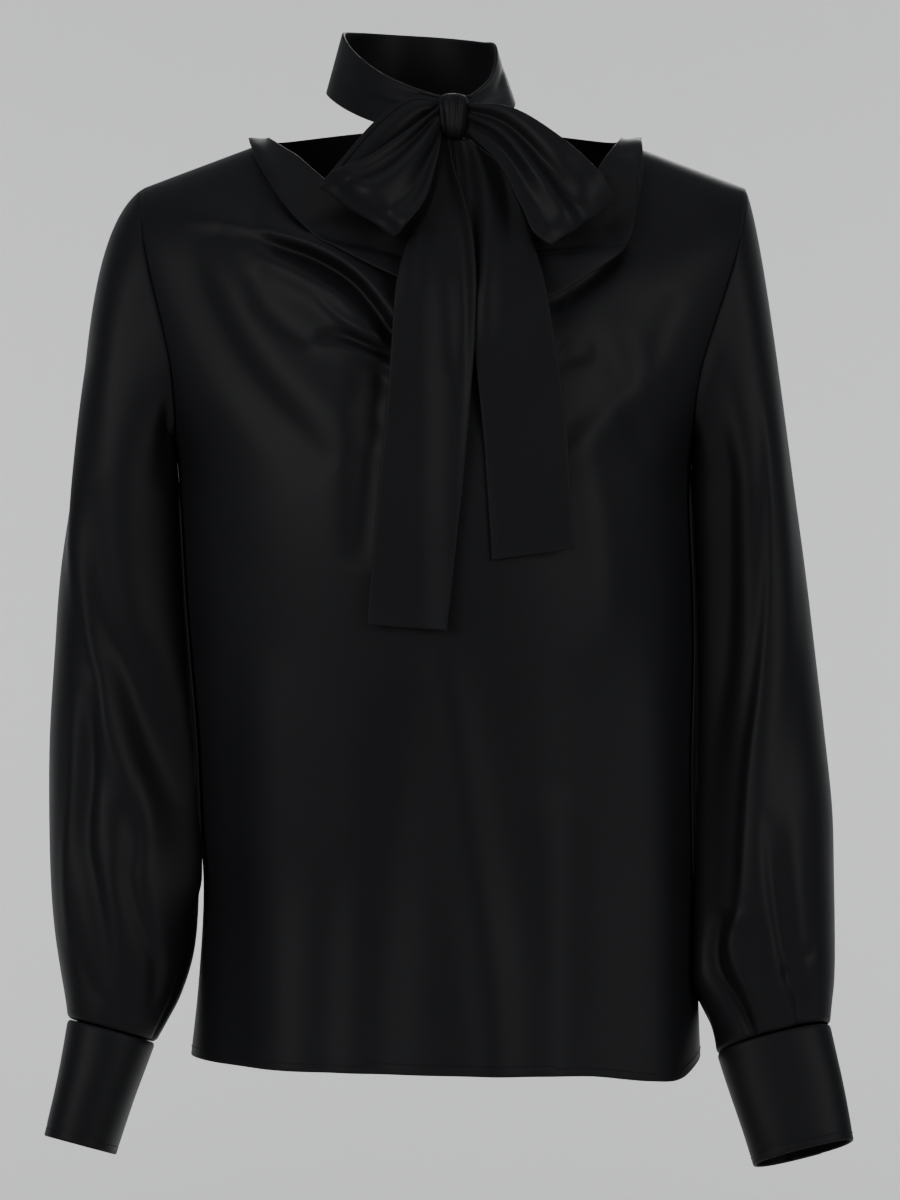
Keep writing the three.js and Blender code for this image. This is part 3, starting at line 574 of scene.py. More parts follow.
def edge_drop(row, rows):
    """Drop of the side edge at a row: down the armhole as round a circle, then down the side seam."""
    turned = np.clip(np.pi * row / ARMHOLE_STEPS, 0, np.pi)
    armhole = lerp(TIP_DROP, UNDERARM_DROP, (1 - np.cos(turned)) / 2)
    side = lerp(UNDERARM_DROP, SIDE_LENGTH, (row - ARMHOLE_STEPS) / (rows - ARMHOLE_STEPS))
    return np.where(row < ARMHOLE_STEPS, armhole, side)


def panel(face, top_edge, folds, rows, u, v):
    """The front or back: each column runs from the top edge to the hem, spaced as the side edge asks."""
    top = np.zeros_like(u)
    for _ in range(24):
        top = top_edge(column_x(u, top))
    at_edge = (edge_drop(v * rows, rows) - TIP_DROP) / (SIDE_LENGTH - TIP_DROP)
    share = lerp(v**TOP_DENSITY, at_edge, u**8)
    hem = read(HEM, 1, column_x(u, np.full_like(u, SIDE_LENGTH)))
    dip = 1 - u**8 if face < 0 else 0
    foot = lerp(SIDE_LENGTH, hem, dip)
    drop = lerp(top, foot, share)
    return body_point(face, column_x(u, drop), drop, folds)


def grid(across, down):
    """Two arrays of parameters for a grid of columns and rows."""
    return np.meshgrid(across, down)


# %% [markdown]
# The hem is a narrow one: the raw edge is turned up twice on the inside and stitched. From outside
# it shows as a firmer, slightly thicker edge with a line of stitches above it. So the wall thickens
# over the last millimetres, by a step that starts at the stitch line.

# %% Make the front and the back
# rows that share out the side edge, columns, lines
FRONT_GRID = (26, 176, 220)
BACK_GRID = (20, 120, 150)
SHELL = 0.8
HEM_WALL = 2.0
HEM_HEIGHT = 9


def hemmed_wall(points):
    """Wall of a panel: one layer of cloth, and three layers over the turned-up hem."""
    gap = edge_distances(points, False)["bottom"]
    return lerp(HEM_WALL, SHELL, smooth(gap, HEM_HEIGHT - 1.5, HEM_HEIGHT + 0.5))


def flat_size(points, ring=False):
    """Width and length of the cloth in metres: its longest grid line each way, closed on a ring."""
    if ring:
        points = np.concatenate([points, points[:, :1]], axis=1)
    return arc(points, 1)[:, -1].max() * MM, arc(points, 0)[-1].max() * MM


def cloth_area(points, ring=False):
    """Area of a grid in square metres: the sum of its squares, each half its diagonals' cross product."""
    if ring:
        points = np.concatenate([points, points[:, :1]], axis=1)
    diagonals = points[1:, 1:] - points[:-1, :-1], points[1:, :-1] - points[:-1, 1:]
    return np.linalg.norm(np.cross(*diagonals), axis=-1).sum() / 2 * MM**2


def report_cloth(piece, points, ring=False):
    """Prints what was made: faces, flat size and flat area."""
    width, length = flat_size(points, ring)
    area = cloth_area(points, ring)
    print(f"{piece.name}: {len(piece.data.polygons)} faces, {width:.3f} x {length:.3f} m, {area:.4f} m2")


def make_panel(name, node, face, top_edge, folds, rows, columns, lines):
    """A hemmed panel with its seams at the sides, in place of its solid."""
    across = steps(columns, 560) * 2 - 1
    down = steps(lines, 600)
    points = panel(face, top_edge, folds, rows, *grid(across, down))
    piece = cloth(name, points, hemmed_wall(points), facing=face, sewn=("first", "last"))
    finish_piece(piece, [node])
    report_cloth(piece, points)
    return piece, points


front, front_points = make_panel("front_cloth", "front", -1, front_top, FRONT_FOLDS, *FRONT_GRID)
back, back_points = make_panel("back_cloth", "back", 1, back_top, BACK_FOLDS, *BACK_GRID)

# %% [markdown]
# ## The sleeves
#
# A bishop sleeve is set into the armhole, falls as a wide tube, fills out above the wrist and is laid
# in pleats into its cuff. The tube is again a table of sections, with the fold lines drawn over it as
# on the body. Round the tube a place is given as a turn: 0 on the outer side, a quarter in front,
# a half beside the body. The folds' lines are given in turns times 330 mm, so that their widths stay
# in millimetres.

# %% Sizes of the sleeves
BICEPS_DROP = 236
SLEEVE_SQUARENESS = 0.1
HEAD_SHARE = 0.36
ROUND_SLEEVE = 330
SIDES = {"right": -1, "left": 1}
HEAD_FULLNESS = {"right": 0.55, "left": 0.16}
HEAD_OFFSET = -0.6
SLEEVE_SEAM_DEPTH = 1.3

# drop, outer and inner x from the centre plane, y of the middle, half depth, tilt, forward lean
SLEEVE = {
    "right": np.array([
        [236, 250, 180.5, 8, 64, 0, 0],
        [290, 258, 178.5, 10, 62, 0, 0],
        [345, 262, 175, 9, 60, 0, 2],
        [400, 265, 172, 6, 59, 0, 4],
        [450, 265, 168.5, 1, 58, 1, 6],
        [500, 263.5, 165, -5, 57, 4, 8],
        [535, 261, 167, -9, 53, 8, 8],
        [562, 257.5, 175, -13, 46, 12, 8],
        [582, 254, 185, -15, 41, 14, 8],
        [595, 252, 192, -17, 37, 15, 8],
    ]),
    "left": np.array([
        [236, 234.5, 168, 8, 64, 0, 0],
        [290, 242, 169.5, 10, 62, 0, 0],
        [345, 248.5, 170.5, 9, 60, 0, 2],
        [400, 254.5, 171, 5, 59, 0, 6],
        [450, 259, 171.5, -2, 58, 0, 9],
        [500, 259.5, 171.8, -11, 57, 1, 11],
        [540, 259.5, 172.5, -19, 51, 4, 13],
        [568, 259, 174.5, -26, 43, 9, 15],
        [587, 257.5, 177.5, -30, 34, 13, 16],
        [599, 256.3, 179, -33, 29, 14, 16],
    ]),
}

# %% [markdown]
# The right sleeve has one long diagonal ridge with a deep hollow beside it, and sharp pleats above
# the cuff. The left one has a hollow down its inner side and a raised edge beside it that runs into
# the first pleat. What nobody sees, at the back of the arms, gets folds of the same kind.

# %% Folds of the sleeves, with places in turns and drops
SLEEVE_FOLDS = {
    "right": [
        # The long ridge, and the hollow on its body side
        (5.0, 19, 11, [
            (0.07, 150), (0.105, 229), (0.161, 308), (0.204, 359), (0.25, 404), (0.287, 437), (0.34, 478),
        ]),
        (-9.0, 16, 18, [
            (0.16, 230), (0.229, 323), (0.285, 359), (0.338, 409), (0.373, 449), (0.384, 485), (0.405, 550),
        ]),
        # The pleats above the cuff
        (-4.2, 5.5, 10, [
            (0.13, 270), (0.176, 338), (0.205, 371), (0.204, 422), (0.189, 472), (0.205, 510), (0.24, 572),
        ]),
        (-3.2, 6, 8, [(0.285, 425), (0.285, 475), (0.276, 500), (0.304, 530), (0.343, 550), (0.37, 580)]),
        (1.4, 7, 7, [(0.165, 370), (0.162, 404), (0.154, 445), (0.134, 485), (0.128, 518), (0.13, 550)]),
        (1.4, 9, 9, [(0.235, 440), (0.24, 500), (0.25, 560), (0.265, 594)]),
        (-2.4, 5, 7, [(0.15, 548), (0.193, 571), (0.24, 580), (0.27, 598)]),
        (-2.4, 5, 5, [(0.43, 540), (0.445, 570), (0.455, 600)]),
        (-5.0, 7, 10, [(0.30, 60), (0.34, 120), (0.37, 180), (0.38, 240)]),
        # The back of the arm
        (-4.0, 7, 6, [(0.62, 420), (0.64, 500), (0.66, 560), (0.68, 600)]),
        (3.5, 10, 8, [(0.70, 300), (0.72, 400), (0.73, 500), (0.74, 600)]),
        (-4.0, 6, 7, [(0.80, 440), (0.79, 520), (0.80, 600)]),
        (4.0, 12, 9, [(0.90, 140), (0.82, 260), (0.74, 360), (0.66, 450)]),
        (-4.0, 12, 12, [(0.96, 200), (0.90, 320), (0.86, 430), (0.85, 540)]),
    ],
    "left": [
        # The hollow beside the body, and the raised edge that runs into the first pleat
        (-7.0, 17, 13, [
            (0.28, 130), (0.32, 230), (0.345, 330), (0.375, 400), (0.39, 460), (0.40, 520), (0.41, 575),
        ]),
        (4.6, 5.5, 18, [
            (0.17, 170), (0.205, 260), (0.23, 316), (0.26, 371), (0.295, 434), (0.315, 510), (0.335, 534),
        ]),
        (4.0, 3.5, 9, [(0.318, 520), (0.34, 537), (0.338, 552), (0.31, 576), (0.28, 600)]),
        (-5.5, 5, 3, [(0.355, 520), (0.37, 540), (0.366, 558), (0.335, 582), (0.30, 604)]),
        (1.6, 12, 14, [
            (0.12, 150), (0.15, 240), (0.178, 308), (0.20, 340), (0.25, 397), (0.275, 440), (0.30, 500),
        ]),
        # The second pleat, with a soft valley on its outer side, and the curls at its foot
        (-3.6, 4.5, 13, [(0.262, 455), (0.255, 500), (0.24, 535), (0.22, 566), (0.195, 586), (0.18, 608)]),
        (1.2, 10, 9, [(0.205, 450), (0.20, 520), (0.175, 575)]),
        (-1.8, 4, 5, [(0.235, 572), (0.215, 564), (0.18, 556), (0.147, 549)]),
        (-1.4, 4, 5, [(0.20, 584), (0.17, 578), (0.15, 572)]),
        # The back of the arm
        (-4.0, 7, 6, [(0.62, 440), (0.64, 510), (0.66, 570), (0.68, 604)]),
        (3.5, 10, 8, [(0.70, 300), (0.72, 400), (0.73, 500), (0.74, 604)]),
        (-4.0, 6, 7, [(0.80, 440), (0.79, 520), (0.80, 604)]),
        (4.0, 12, 9, [(0.92, 130), (0.84, 260), (0.76, 370), (0.68, 450)]),
        (-4.0, 12, 12, [(0.97, 220), (0.92, 330), (0.88, 430), (0.86, 540)]),
    ],
}


def tipped(sign, centre, local, tilt, lean):
    """A section's own point put into place: its outer side raised by tilt, its foot brought forwards."""
    tilt, lean = np.radians(tilt), np.radians(lean)
    return np.stack([
        sign * (centre[0] + local[0] * np.cos(tilt)),
        centre[1] + local[1] * np.cos(lean),
        -centre[2] + local[0] * np.sin(tilt) - local[1] * np.sin(lean),
    ], axis=-1)


def rounded_oval(angle, half, deep, push):
    """A point of an oval, squared a little, and pushed out along its normal."""
    c, s = np.cos(angle), np.sin(angle)
    out = unit(np.stack([c / half, -s / deep], axis=-1))
    x = half * c * (1 + SLEEVE_SQUARENESS * s**2) + out[..., 0] * push
    y = -deep * s * (1 + SLEEVE_SQUARENESS * c**2) + out[..., 1] * push
    return x, y


def sleeve_folds_at(side, turn, drop):
    """Height of a sleeve's folds; their lines are also laid a turn on and back, so none stops at 0."""
    total = 0
    for shift in (-1, 0, 1):
        moved = [
            (h, a, b, [((t + shift) * ROUND_SLEEVE, d) for t, d in points])
            for h, a, b, points in SLEEVE_FOLDS[side]
        ]
        total = total + fold_height(moved, turn * ROUND_SLEEVE, drop)
    return total


def sleeve_point(side, turn, drop, push):
    """A point of a sleeve's tube: the oval of its section, tipped into place."""
    outer, inner, y, deep, tilt, lean = (read(SLEEVE[side], k, drop) for k in range(1, 7))
    local = rounded_oval(2 * np.pi * turn, (outer - inner) / 2, deep, push)
    return tipped(SIDES[side], ((outer + inner) / 2, y, drop), local, tilt, lean)


def armhole_point(side, turn):
    """A point of the armhole just inside the panels' edge: turn 0 at the shoulder, 0.25 in front."""
    sign = SIDES[side]
    drop = lerp(TIP_DROP, UNDERARM_DROP, (1 - np.cos(2 * np.pi * turn)) / 2)
    x = read(BODY, 1, drop) + sign * read(ARMHOLE, 1, drop)
    before = body_point(-1, x, drop, FRONT_FOLDS)
    behind = body_point(1, x, drop, BACK_FOLDS)
    point = np.where((turn % 1 < 0.5)[..., None], before, behind)
    return point + np.array([sign * HEAD_OFFSET, 0, 0])


def head_point(side, turn, share):
    """The sleeve head: each lengthwise thread is a cubic from the armhole to the top of the tube.

    It arrives with the tube's own slope, so that no line shows where the two meet.
    """
    start = armhole_point(side, turn)
    end = sleeve_point(side, turn, np.full_like(turn, BICEPS_DROP), 0)
    reach = np.linalg.norm(end - start, axis=-1)
    high = (1 + np.cos(2 * np.pi * turn)) / 2
    sideways = SIDES[side] * HEAD_FULLNESS[side] * (0.65 + 0.35 * high)
    leave = np.stack([sideways * reach, 0 * reach, -0.4 * reach], axis=-1)
    arrive = (sleeve_point(side, turn, np.full_like(turn, BICEPS_DROP + 1), 0) - end) * reach[..., None]
    return cubic(start, end, leave, arrive, share[..., None])


# drop, x from the centre plane where a sleeve ends on the body's side, before and behind the body
LAP = {
    "right": np.array([
        [190, 179.5, 180], [214, 178, 179], [236, 176, 178], [262, 174, 176],
        [308, 171.5, 174], [346, 168.5, 172],
        [400, 164, 169], [450, 162, 167], [495, 161, 166], [520, 164, 168], [550, 170, 172],
    ]),
    "left": np.array([
        [190, 166, 168], [214, 164.5, 166], [236, 162, 164.5], [262, 162.5, 165], [308, 164.5, 167],
        [346, 165, 167], [409, 163, 167],
        [447, 163, 166], [510, 164, 167], [561, 164, 168], [590, 166, 172],
    ]),
}
LAP_TURN = {"right": (0.42, 0.585), "left": (0.43, 0.58)}
LAP_WIDTH = 0.06
LAP_START = (180, 212)
LAP_SEAM = (0.03, 0.12)
LAP_END = {"right": (492, 545), "left": (556, 592)}
BODY_CLEARANCE = 1.6
# The drops between which the sleeve starts to be kept off the body
CLEARED = (UNDERARM_DROP - 8, UNDERARM_DROP + 14)


def lapped(side, turn, v, level, points):
    """The sleeve's inner side moved to the table's outline, as a bell of the turn before and behind.

    The seam at the armhole stays where it is.
    """
    out = points[..., 0] * SIDES[side]
    share = smooth(level, *LAP_START) * (1 - smooth(level, *LAP_END[side])) * smooth(v, *LAP_SEAM)
    inwards = 0
    for column, place in enumerate(LAP_TURN[side], 1):
        needed = np.maximum(0, out - read(LAP[side], column, level))
        inwards = inwards + needed * bell(turn - place, LAP_WIDTH)
    return points - np.array([SIDES[side], 0, 0]) * (inwards * share)[..., None]


def clear_of_body(turn, points):
    """Points that came inside the body's form, moved straight out before it or behind it."""
    x, y, drop = points[..., 0], points[..., 1], -points[..., 2]
    shift, half = read(BODY, 1, drop), read(BODY, 2, drop)
    nearer = shift + (x - shift) * half / (half + BODY_CLEARANCE)
    before = body_point(-1, nearer, drop, FRONT_FOLDS, BODY_CLEARANCE)[..., 1]
    behind = body_point(1, nearer, drop, BACK_FOLDS, BODY_CLEARANCE)[..., 1]
    moved = np.where(turn % 1 < 0.5, np.minimum(y, before), np.maximum(y, behind))
    within = np.abs(x - shift) < half + BODY_CLEARANCE
    share = smooth(drop, *CLEARED) * within
    return np.stack([x, lerp(y, moved, share), -drop], axis=-1)


def sleeve_points(side, turn, v):
    """The whole sleeve: v below HEAD_SHARE is the head, and the rest is the tube, with the folds on it.

    The head's points carry the same fold lines, read at their own height.
    """
    foot = SLEEVE[side][-1, 0]
    in_head = v < HEAD_SHARE
    drop = lerp(BICEPS_DROP, foot, (v - HEAD_SHARE) / (1 - HEAD_SHARE))
    head = head_point(side, turn, np.clip(v / HEAD_SHARE, 0, 1))
    tube = sleeve_point(side, turn, np.maximum(drop, BICEPS_DROP), 0)
    points = np.where(in_head[..., None], head, tube)
    level = np.where(in_head, -head[..., 2], drop)
    push = sleeve_folds_at(side, turn, level) * smooth(v, 0.0, 0.1)
    points = points + outward(points, SIDES[side], True) * push[..., None]
    return clear_of_body(turn, lapped(side, turn, v, level, points))


# %% Make the sleeves
SLEEVE_COLUMNS = 176
SLEEVE_LINES = 200


def make_sleeve(side):
    """A sleeve as a closed tube, sewn at the armhole and at the cuff."""
    turn = np.arange(SLEEVE_COLUMNS) / SLEEVE_COLUMNS
    down = steps(SLEEVE_LINES, 560)
    points = sleeve_points(side, *grid(turn, down))
    wall = np.full(points.shape[:2], SHELL)
    name = f"sleeve_{side}_cloth"
    piece = cloth(name, points, wall, SIDES[side], True, ("top", "bottom"), SLEEVE_SEAM_DEPTH)
    finish_piece(piece, [f"sleeve_{side}"])
    report_cloth(piece, points, True)
    return piece, points


sleeves = {side: make_sleeve(side) for side in SIDES}

# %% [markdown]
# ## The cuffs
#
# A deep cuff is a straight strip of doubled cloth. It goes once round the wrist, and its end passes
# over its start behind the wrist, where two covered buttons close it. Doubled cloth is about 2 mm
# thick with rounded edges, which the wall and its rounding give by themselves.

# %% Sizes of the cuffs
CUFF_LENGTH = 78
OVERLAP_TURN = 0.09
CUFF_START = 0.72
CUFF_STEP = (0.76, 0.93)
DOUBLE = 2.2
CUFF_FOOT = {"right": (24.5, 35), "left": (34, 23)}


def cuff_point(side, u, v, lift=0.0):
    """A strip wound 1.09 turns round the wrist; over its own start it steps out by its thickness."""
    _, outer, inner, y, deep, tilt, lean = SLEEVE[side][-1]
    foot_half, foot_deep = CUFF_FOOT[side]
    angle = 2 * np.pi * (CUFF_START + u * (1 + OVERLAP_TURN))
    step = (DOUBLE + SEAM) * smooth(u, *CUFF_STEP)
    half, depth = lerp((outer - inner) / 2, foot_half, v), lerp(deep, foot_deep, v)
    local = rounded_oval(angle, half, depth, step + lift)
    down = 2 * SEAM + v * CUFF_LENGTH
    a, b = np.radians(tilt), np.radians(lean)
    centre = (
        (outer + inner) / 2 + down * np.sin(a) * np.cos(b),
        y - down * np.sin(b),
        SLEEVE[side][-1, 0] + down * np.cos(a) * np.cos(b),
    )
    return tipped(SIDES[side], centre, local, tilt, lean)


CUFF_WAVES = {"right": (0.9, 2.0, 0.4), "left": (0.8, 3.0, 1.3)}


def cuff_relief(side, u, v):
    """Height on a cuff: one slow wave round it, and a groove where its lower edge is stitched."""
    size, count, phase = CUFF_WAVES[side]
    wave = size * np.sin(2 * np.pi * (count * u + 0.3 * v) + phase) * np.sin(np.pi * np.clip(v, 0, 1))
    stitched = -0.35 * bell((1 - v) * CUFF_LENGTH - 6, 0.9)
    return wave * smooth(u, 0.0, 0.1) * (1 - smooth(u, 0.72, 0.8)) + stitched


def make_cuff(side):
    """A cuff with its top edge sewn to the sleeve."""
    across = steps(150, 250)
    down = steps(44, CUFF_LENGTH)
    u, v = grid(across, down)
    points = cuff_point(side, u, v, cuff_relief(side, u, v))
    wall = np.full(points.shape[:2], DOUBLE)
    piece = cloth(f"cuff_{side}_cloth", points, wall, SIDES[side], False, ("top",))
    finish_piece(piece, [f"cuff_{side}"])
    report_cloth(piece, points)
    return piece, points


cuffs = {side: make_cuff(side) for side in SIDES}

# %% [markdown]
# ## The collar
#
# The cowl's edge is turned out over the neckline as a strip of doubled cloth. It lies flat on the
# right, where the strip is narrow, and on the left it widens, folds over at a corner and stands off
# the front, which throws the dark line under it.

# %% Sizes of the collar
# along, x and drop of the fold edge at the neckline, x and drop of the free edge
COLLAR = np.array([
    [0.0, -118, 0, -131, 4],
    [0.1, -106, 9, -122, 23],
    [0.2, -96, 16, -105, 49],
    [0.3, -82, 29, -88, 67],
    [0.4, -62, 46, -68, 80],
    [0.5, -35, 64, -33, 98],
    [0.58, -5, 75, 5, 113],
    [0.66, 28, 80, 38, 119],
    [0.74, 58, 76, 68, 112],
    [0.8, 76, 65, 95, 95],
    [0.86, 88, 50, 116, 78],
    [0.91, 96, 33, 123, 57],
    [0.96, 105, 17, 129, 31],
    [1.0, 118, 0, 131, 4],
])
COLLAR_STAND = (0.5, 5.5)
COLLAR_FOLDS = [
    # The crease across the left corner, with the hollow over it, and the roll down to that corner
    (-5.5, 18, 1.1, [(50, 81), (66, 80), (84, 79), (100, 78), (122, 76)]),
    (4.0, 1.0, 14, [(52, 86), (66, 84), (84, 82.5), (102, 81), (118, 78)]),
    (3.0, 3, 9, [(121, 14), (124, 38), (122, 56), (117, 74)]),
    (-2.5, 5, 6, [(104, 30), (106, 46), (100, 62)]),
    # The crease on the right, and slack near the shoulders
    (-3.6, 11, 1.2, [(-90, 66), (-74, 74), (-55, 79), (-34, 84), (-12, 92)]),
    (1.5, 5, 5, [(-128, 8), (-116, 22), (-104, 38)]),
]


def collar_point(u, v):
    """A point of the strip between its two edges, standing off the front more towards its free edge."""
    along = (1 - np.cos(np.pi * u)) / 2
    x = lerp(read(COLLAR, 1, along), read(COLLAR, 3, along), v)
    drop = lerp(read(COLLAR, 2, along), read(COLLAR, 4, along), v)
    stand = lerp(*COLLAR_STAND, smooth(v, 0, 1))
    stand = stand + fold_height(COLLAR_FOLDS, x, drop) * smooth(v, 0, 0.15)
    return body_point(-1, x, drop, (), SEAM + DOUBLE + np.maximum(stand, 0.3))


across, down = grid(steps(230, 380), steps(40, 35))
collar_points = collar_point(across, down)
collar = cloth("collar_cloth", collar_points, np.full(across.shape, DOUBLE), -1)
finish_piece(collar, ["collar"])
report_cloth(collar, collar_points)

# %% [markdown]
# ## The tie
#
# The tie is one long strip of doubled cloth. It goes round the neck, crosses in front, and is knotted
# in a bow with two loops and two hanging tails. Each stretch has its own function of two parameters:
# one along the strip and one across it. Near the knot the strip is gathered, which is a wave across it
# that dies away from the knot.

# %% The band round the neck
# along, x, y and height of the top edge, x, y and height of the foot
BAND = np.array([
    [0.0, -1.5, -66, 23, -1.5, -66, 4],
    [0.015, -6.3, -64, 24, -6.3, -65, 3],
    [0.06, -20, -58, 29, -21, -61, 2],
    [0.14, -40, -44, 39, -44, -48, 6],
    [0.23, -59, -20, 56, -66, -24, 18],
    [0.32, -67, 8, 72, -78, 6, 31],
    [0.42, -57, 42, 77, -66, 46, 36],
    [0.5, -33, 61, 78, -37, 68, 37],
    [0.58, -2, 61, 76, 1, 68, 36],
    [0.68, 23, 43, 71, 32, 48, 31],
    [0.79, 32.5, 8, 64, 45.5, 8, 25],
    [0.9, 30, -26, 41, 38, -27, 12],
    [0.985, 16.9, -62, 24, 16.9, -63, 3],
    [1.0, 12, -66, 23, 12, -66, 4],
])


def band_point(u, v):
    """A point of the band between its top edge and its foot; the slack folds near its ends are added
    afterwards.
    """
    top = np.stack([read(BAND, k, u) for k in (1, 2, 3)], axis=-1)
    foot = np.stack([read(BAND, k, u) for k in (4, 5, 6)], axis=-1)
    return lerp(top, foot, v[..., None])


across, down = grid(steps(240, 440), steps(30, 40))
band_points = band_point(across, down)
gathers = bell(across, 0.09) + bell(1 - across, 0.09)
slack = 1.3 * gathers * np.sin(2 * np.pi * 2.0 * down)
slack += 1.2 * bell(down - 0.55 - 0.3 * (across - 0.12), 0.10) * bell(across - 0.12, 0.10)
slack += 1.6 * bell(down - 0.35, 0.12) * bell(across - 0.86, 0.07)
band_points += outward(band_points, -1, False) * slack[..., None]
band = cloth("tie_band_cloth", band_points, np.full(across.shape, DOUBLE), -1)
finish_piece(band, ["tie_band"])
report_cloth(band, band_points)

# %% The loops of the bow
# along, x, y and drop of the upper edge, x, y and drop of the lower edge
LOOPS = {
    "right": np.array([
        [0.0, -3, -67, -19, -2, -67, -4],
        [0.12, -24, -70, -20, -8, -75, 15],
        [0.24, -46, -76, -4, -13, -86, 38],
        [0.36, -66, -84, 20, -23, -99, 60],
        [0.5, -82, -97, 41, -33, -115, 74.5],
        [0.6, -72, -108, 31, -25, -122, 68],
        [0.72, -51, -108, 22, -12, -115, 50],
        [0.86, -25, -94, 3, -5, -98, 24],
        [1.0, -3, -77, -15, -2, -78, 3],
    ]),
    "left": np.array([
        [0.0, 13.5, -65, -15, 13.5, -65, -1],
        [0.14, 42, -68, -12, 32, -72, 11],
        [0.28, 70, -74, 5, 45, -84, 38],
        [0.4, 94, -82, 27, 57, -99, 63],
        [0.5, 111, -94, 50, 69, -116, 79.5],
        [0.6, 98, -103, 28, 58, -119, 72],
        [0.72, 74, -102, 7, 49, -113, 54],
        [0.86, 44, -92, -12, 34, -98, 25],
        [1.0, 13.5, -76, -17, 13.5, -76, 2],
    ]),
}
# height, place across the strip at the knot and at the loop's end, width across
LOOP_FOLDS = {
    "right": [
        (-4.2, 0.30, 0.12, 0.10),
        (3.4, 0.56, 0.40, 0.16),
        (-2.6, 0.80, 0.74, 0.10),
        (1.6, 0.96, 0.96, 0.08),
    ],
    "left": [
        (-4.0, 0.28, 0.46, 0.09),
        (3.8, 0.46, 0.64, 0.10),
        (-2.4, 0.72, 0.86, 0.10),
        (1.6, 0.10, 0.20, 0.12),
    ],
}
# height, distance from the loop's end as a share of the loop, and width: the roll of the loop's end
LOOP_ROLL = {
    "right": [(2.6, 0.24, 0.10), (-2.2, 0.10, 0.06)],
    "left": [(2.0, 0.12, 0.08), (-1.4, 0.27, 0.09)],
}


def loop_point(side, u, v):
    """A point of a loop: u runs out to its end and back to the knot, v from its upper to its lower edge.

    On it lie folds that run out from the knot along the strip, fine gathers at the knot itself, and
    the roll of the loop's end, which is shallower towards the knot.
    """
    table = LOOPS[side]
    upper = np.stack([read(table, 1, u), read(table, 2, u), -read(table, 3, u)], axis=-1)
    lower = np.stack([read(table, 4, u), read(table, 5, u), -read(table, 6, u)], axis=-1)
    points = lerp(upper, lower, v[..., None])
    out = 1 - np.abs(2 * u - 1)
    front_layer = smooth(u, 0.5, 0.6)
    relief = 0.5 * np.sin(2 * np.pi * 3 * v + 0.6) * bell(out - 0.16, 0.14)
    along = np.sin(np.pi * np.clip(out * 0.8 + 0.08, 0, 1))
    for height, start, end, width in LOOP_FOLDS[side]:
        line = lerp(start, end, out)
        relief = relief + height * bell(v - line, width) * along * lerp(0.45, 1.0, front_layer)
    for height, place, width in LOOP_ROLL[side]:
        relief = relief + height * bell(1 - out - place, width) * front_layer * lerp(1.0, 0.7, v)
    return points + outward(points, SIDES[side], False) * relief[..., None]


def make_loop(side):
    """A bow loop of doubled cloth, in place of its solid."""
    points = loop_point(side, *grid(steps(120, 210), steps(52, 60)))
    wall = np.full(points.shape[:2], DOUBLE)
    piece = cloth(f"bow_loop_{side}_cloth", points, wall, SIDES[side])
    finish_piece(piece, [f"bow_loop_{side}"])
    report_cloth(piece, points)
    return piece, points


loops = {side: make_loop(side) for side in SIDES}

# %% The hanging tails
RESTING_GAP = 0.7
TAIL_OVER = (3.3, -16, 6)
# How much lower the outer corner of the free end hangs, on the wearer's left side of each tail
TAIL_SLANT = {"right": 4, "left": -7.5}
# drop, x of the two edges, y where the tail hangs free
TAILS = {
    "right": np.array([
        [6.6, -4, 3, -74],
        [22, -3, 5, -80.5],
        [42, -7, 11, -90],
        [60, -14, 16, -98.5],
        [76, -24, 19, -106],
        [100, -31, 20.5, -115],
        [120, -33, 20, -119.5],
        [150, -35, 18.5, -123.5],
        [200, -39, 14.5, -127.5],
        [250, -44, 10, -129.5],
        [326, -50, 1.5, -129.5],
    ]),
    "left": np.array([
        [6.6, 6, 15, -74],
        [22, 7, 34, -80.5],
        [42, 9, 45, -90],
        [60, 11, 52, -98.5],
        [76, 13, 57, -106],
        [100, 15, 64, -115],
        [120, 16.5, 67.5, -119.5],
        [150, 19, 72.5, -123.5],
        [200, 24.5, 78.5, -126],
        [240, 27.5, 81, -127.5],
        [279, 30, 84, -127.5],
    ]),
}
# The folds' lines, as on the front: a dark hollow under the knot, and ridges that die lower down
TAIL_FOLDS = {
    "right": [
        (-5.0, 8, 9, [(-2, -2), (1, 22), (4, 50), (9, 84), (12, 120), (12, 170)]),
        (1.8, 3, 4, [(6, 24), (14, 50), (18, 78), (19, 120), (17, 190), (12, 260)]),
        (2.2, 7, 8, [(-6, 30), (-14, 56), (-22, 84), (-26, 120)]),
    ],
    "left": [
        (3.2, 7, 6, [(9, -6), (20, 12), (26, 34), (28, 62), (27, 100), (26, 150)]),
        (-4.0, 6, 5, [(8, -2), (13, 18), (16, 42), (18, 70), (19, 112)]),
        (-2.2, 5, 6, [(24, 6), (35, 26), (41, 50), (43, 90)]),
        (1.5, 5, 6, [(26, 8), (42, 30), (52, 56), (58, 90)]),
    ],
}


def tail_point(side, u, v):
    """A tail hangs from the knot, and lies on the front wherever that stands out further."""
    table = TAILS[side]
    drop = lerp(table[0, 0], table[-1, 0] + TAIL_SLANT[side] * (u - 0.5), v)
    x = lerp(read(table, 1, drop), read(table, 2, drop), u)
    front = body_point(-1, x, drop, FRONT_FOLDS, RESTING_GAP + DOUBLE)
    over = 0
    if side == "right":
        over = TAIL_OVER[0] * smooth(x, TAIL_OVER[1], TAIL_OVER[2])
    free = read(table, 3, drop) - fold_height(TAIL_FOLDS[side], x, drop)
    return np.stack([x, np.minimum(front[..., 1], free) - over, -drop], axis=-1)


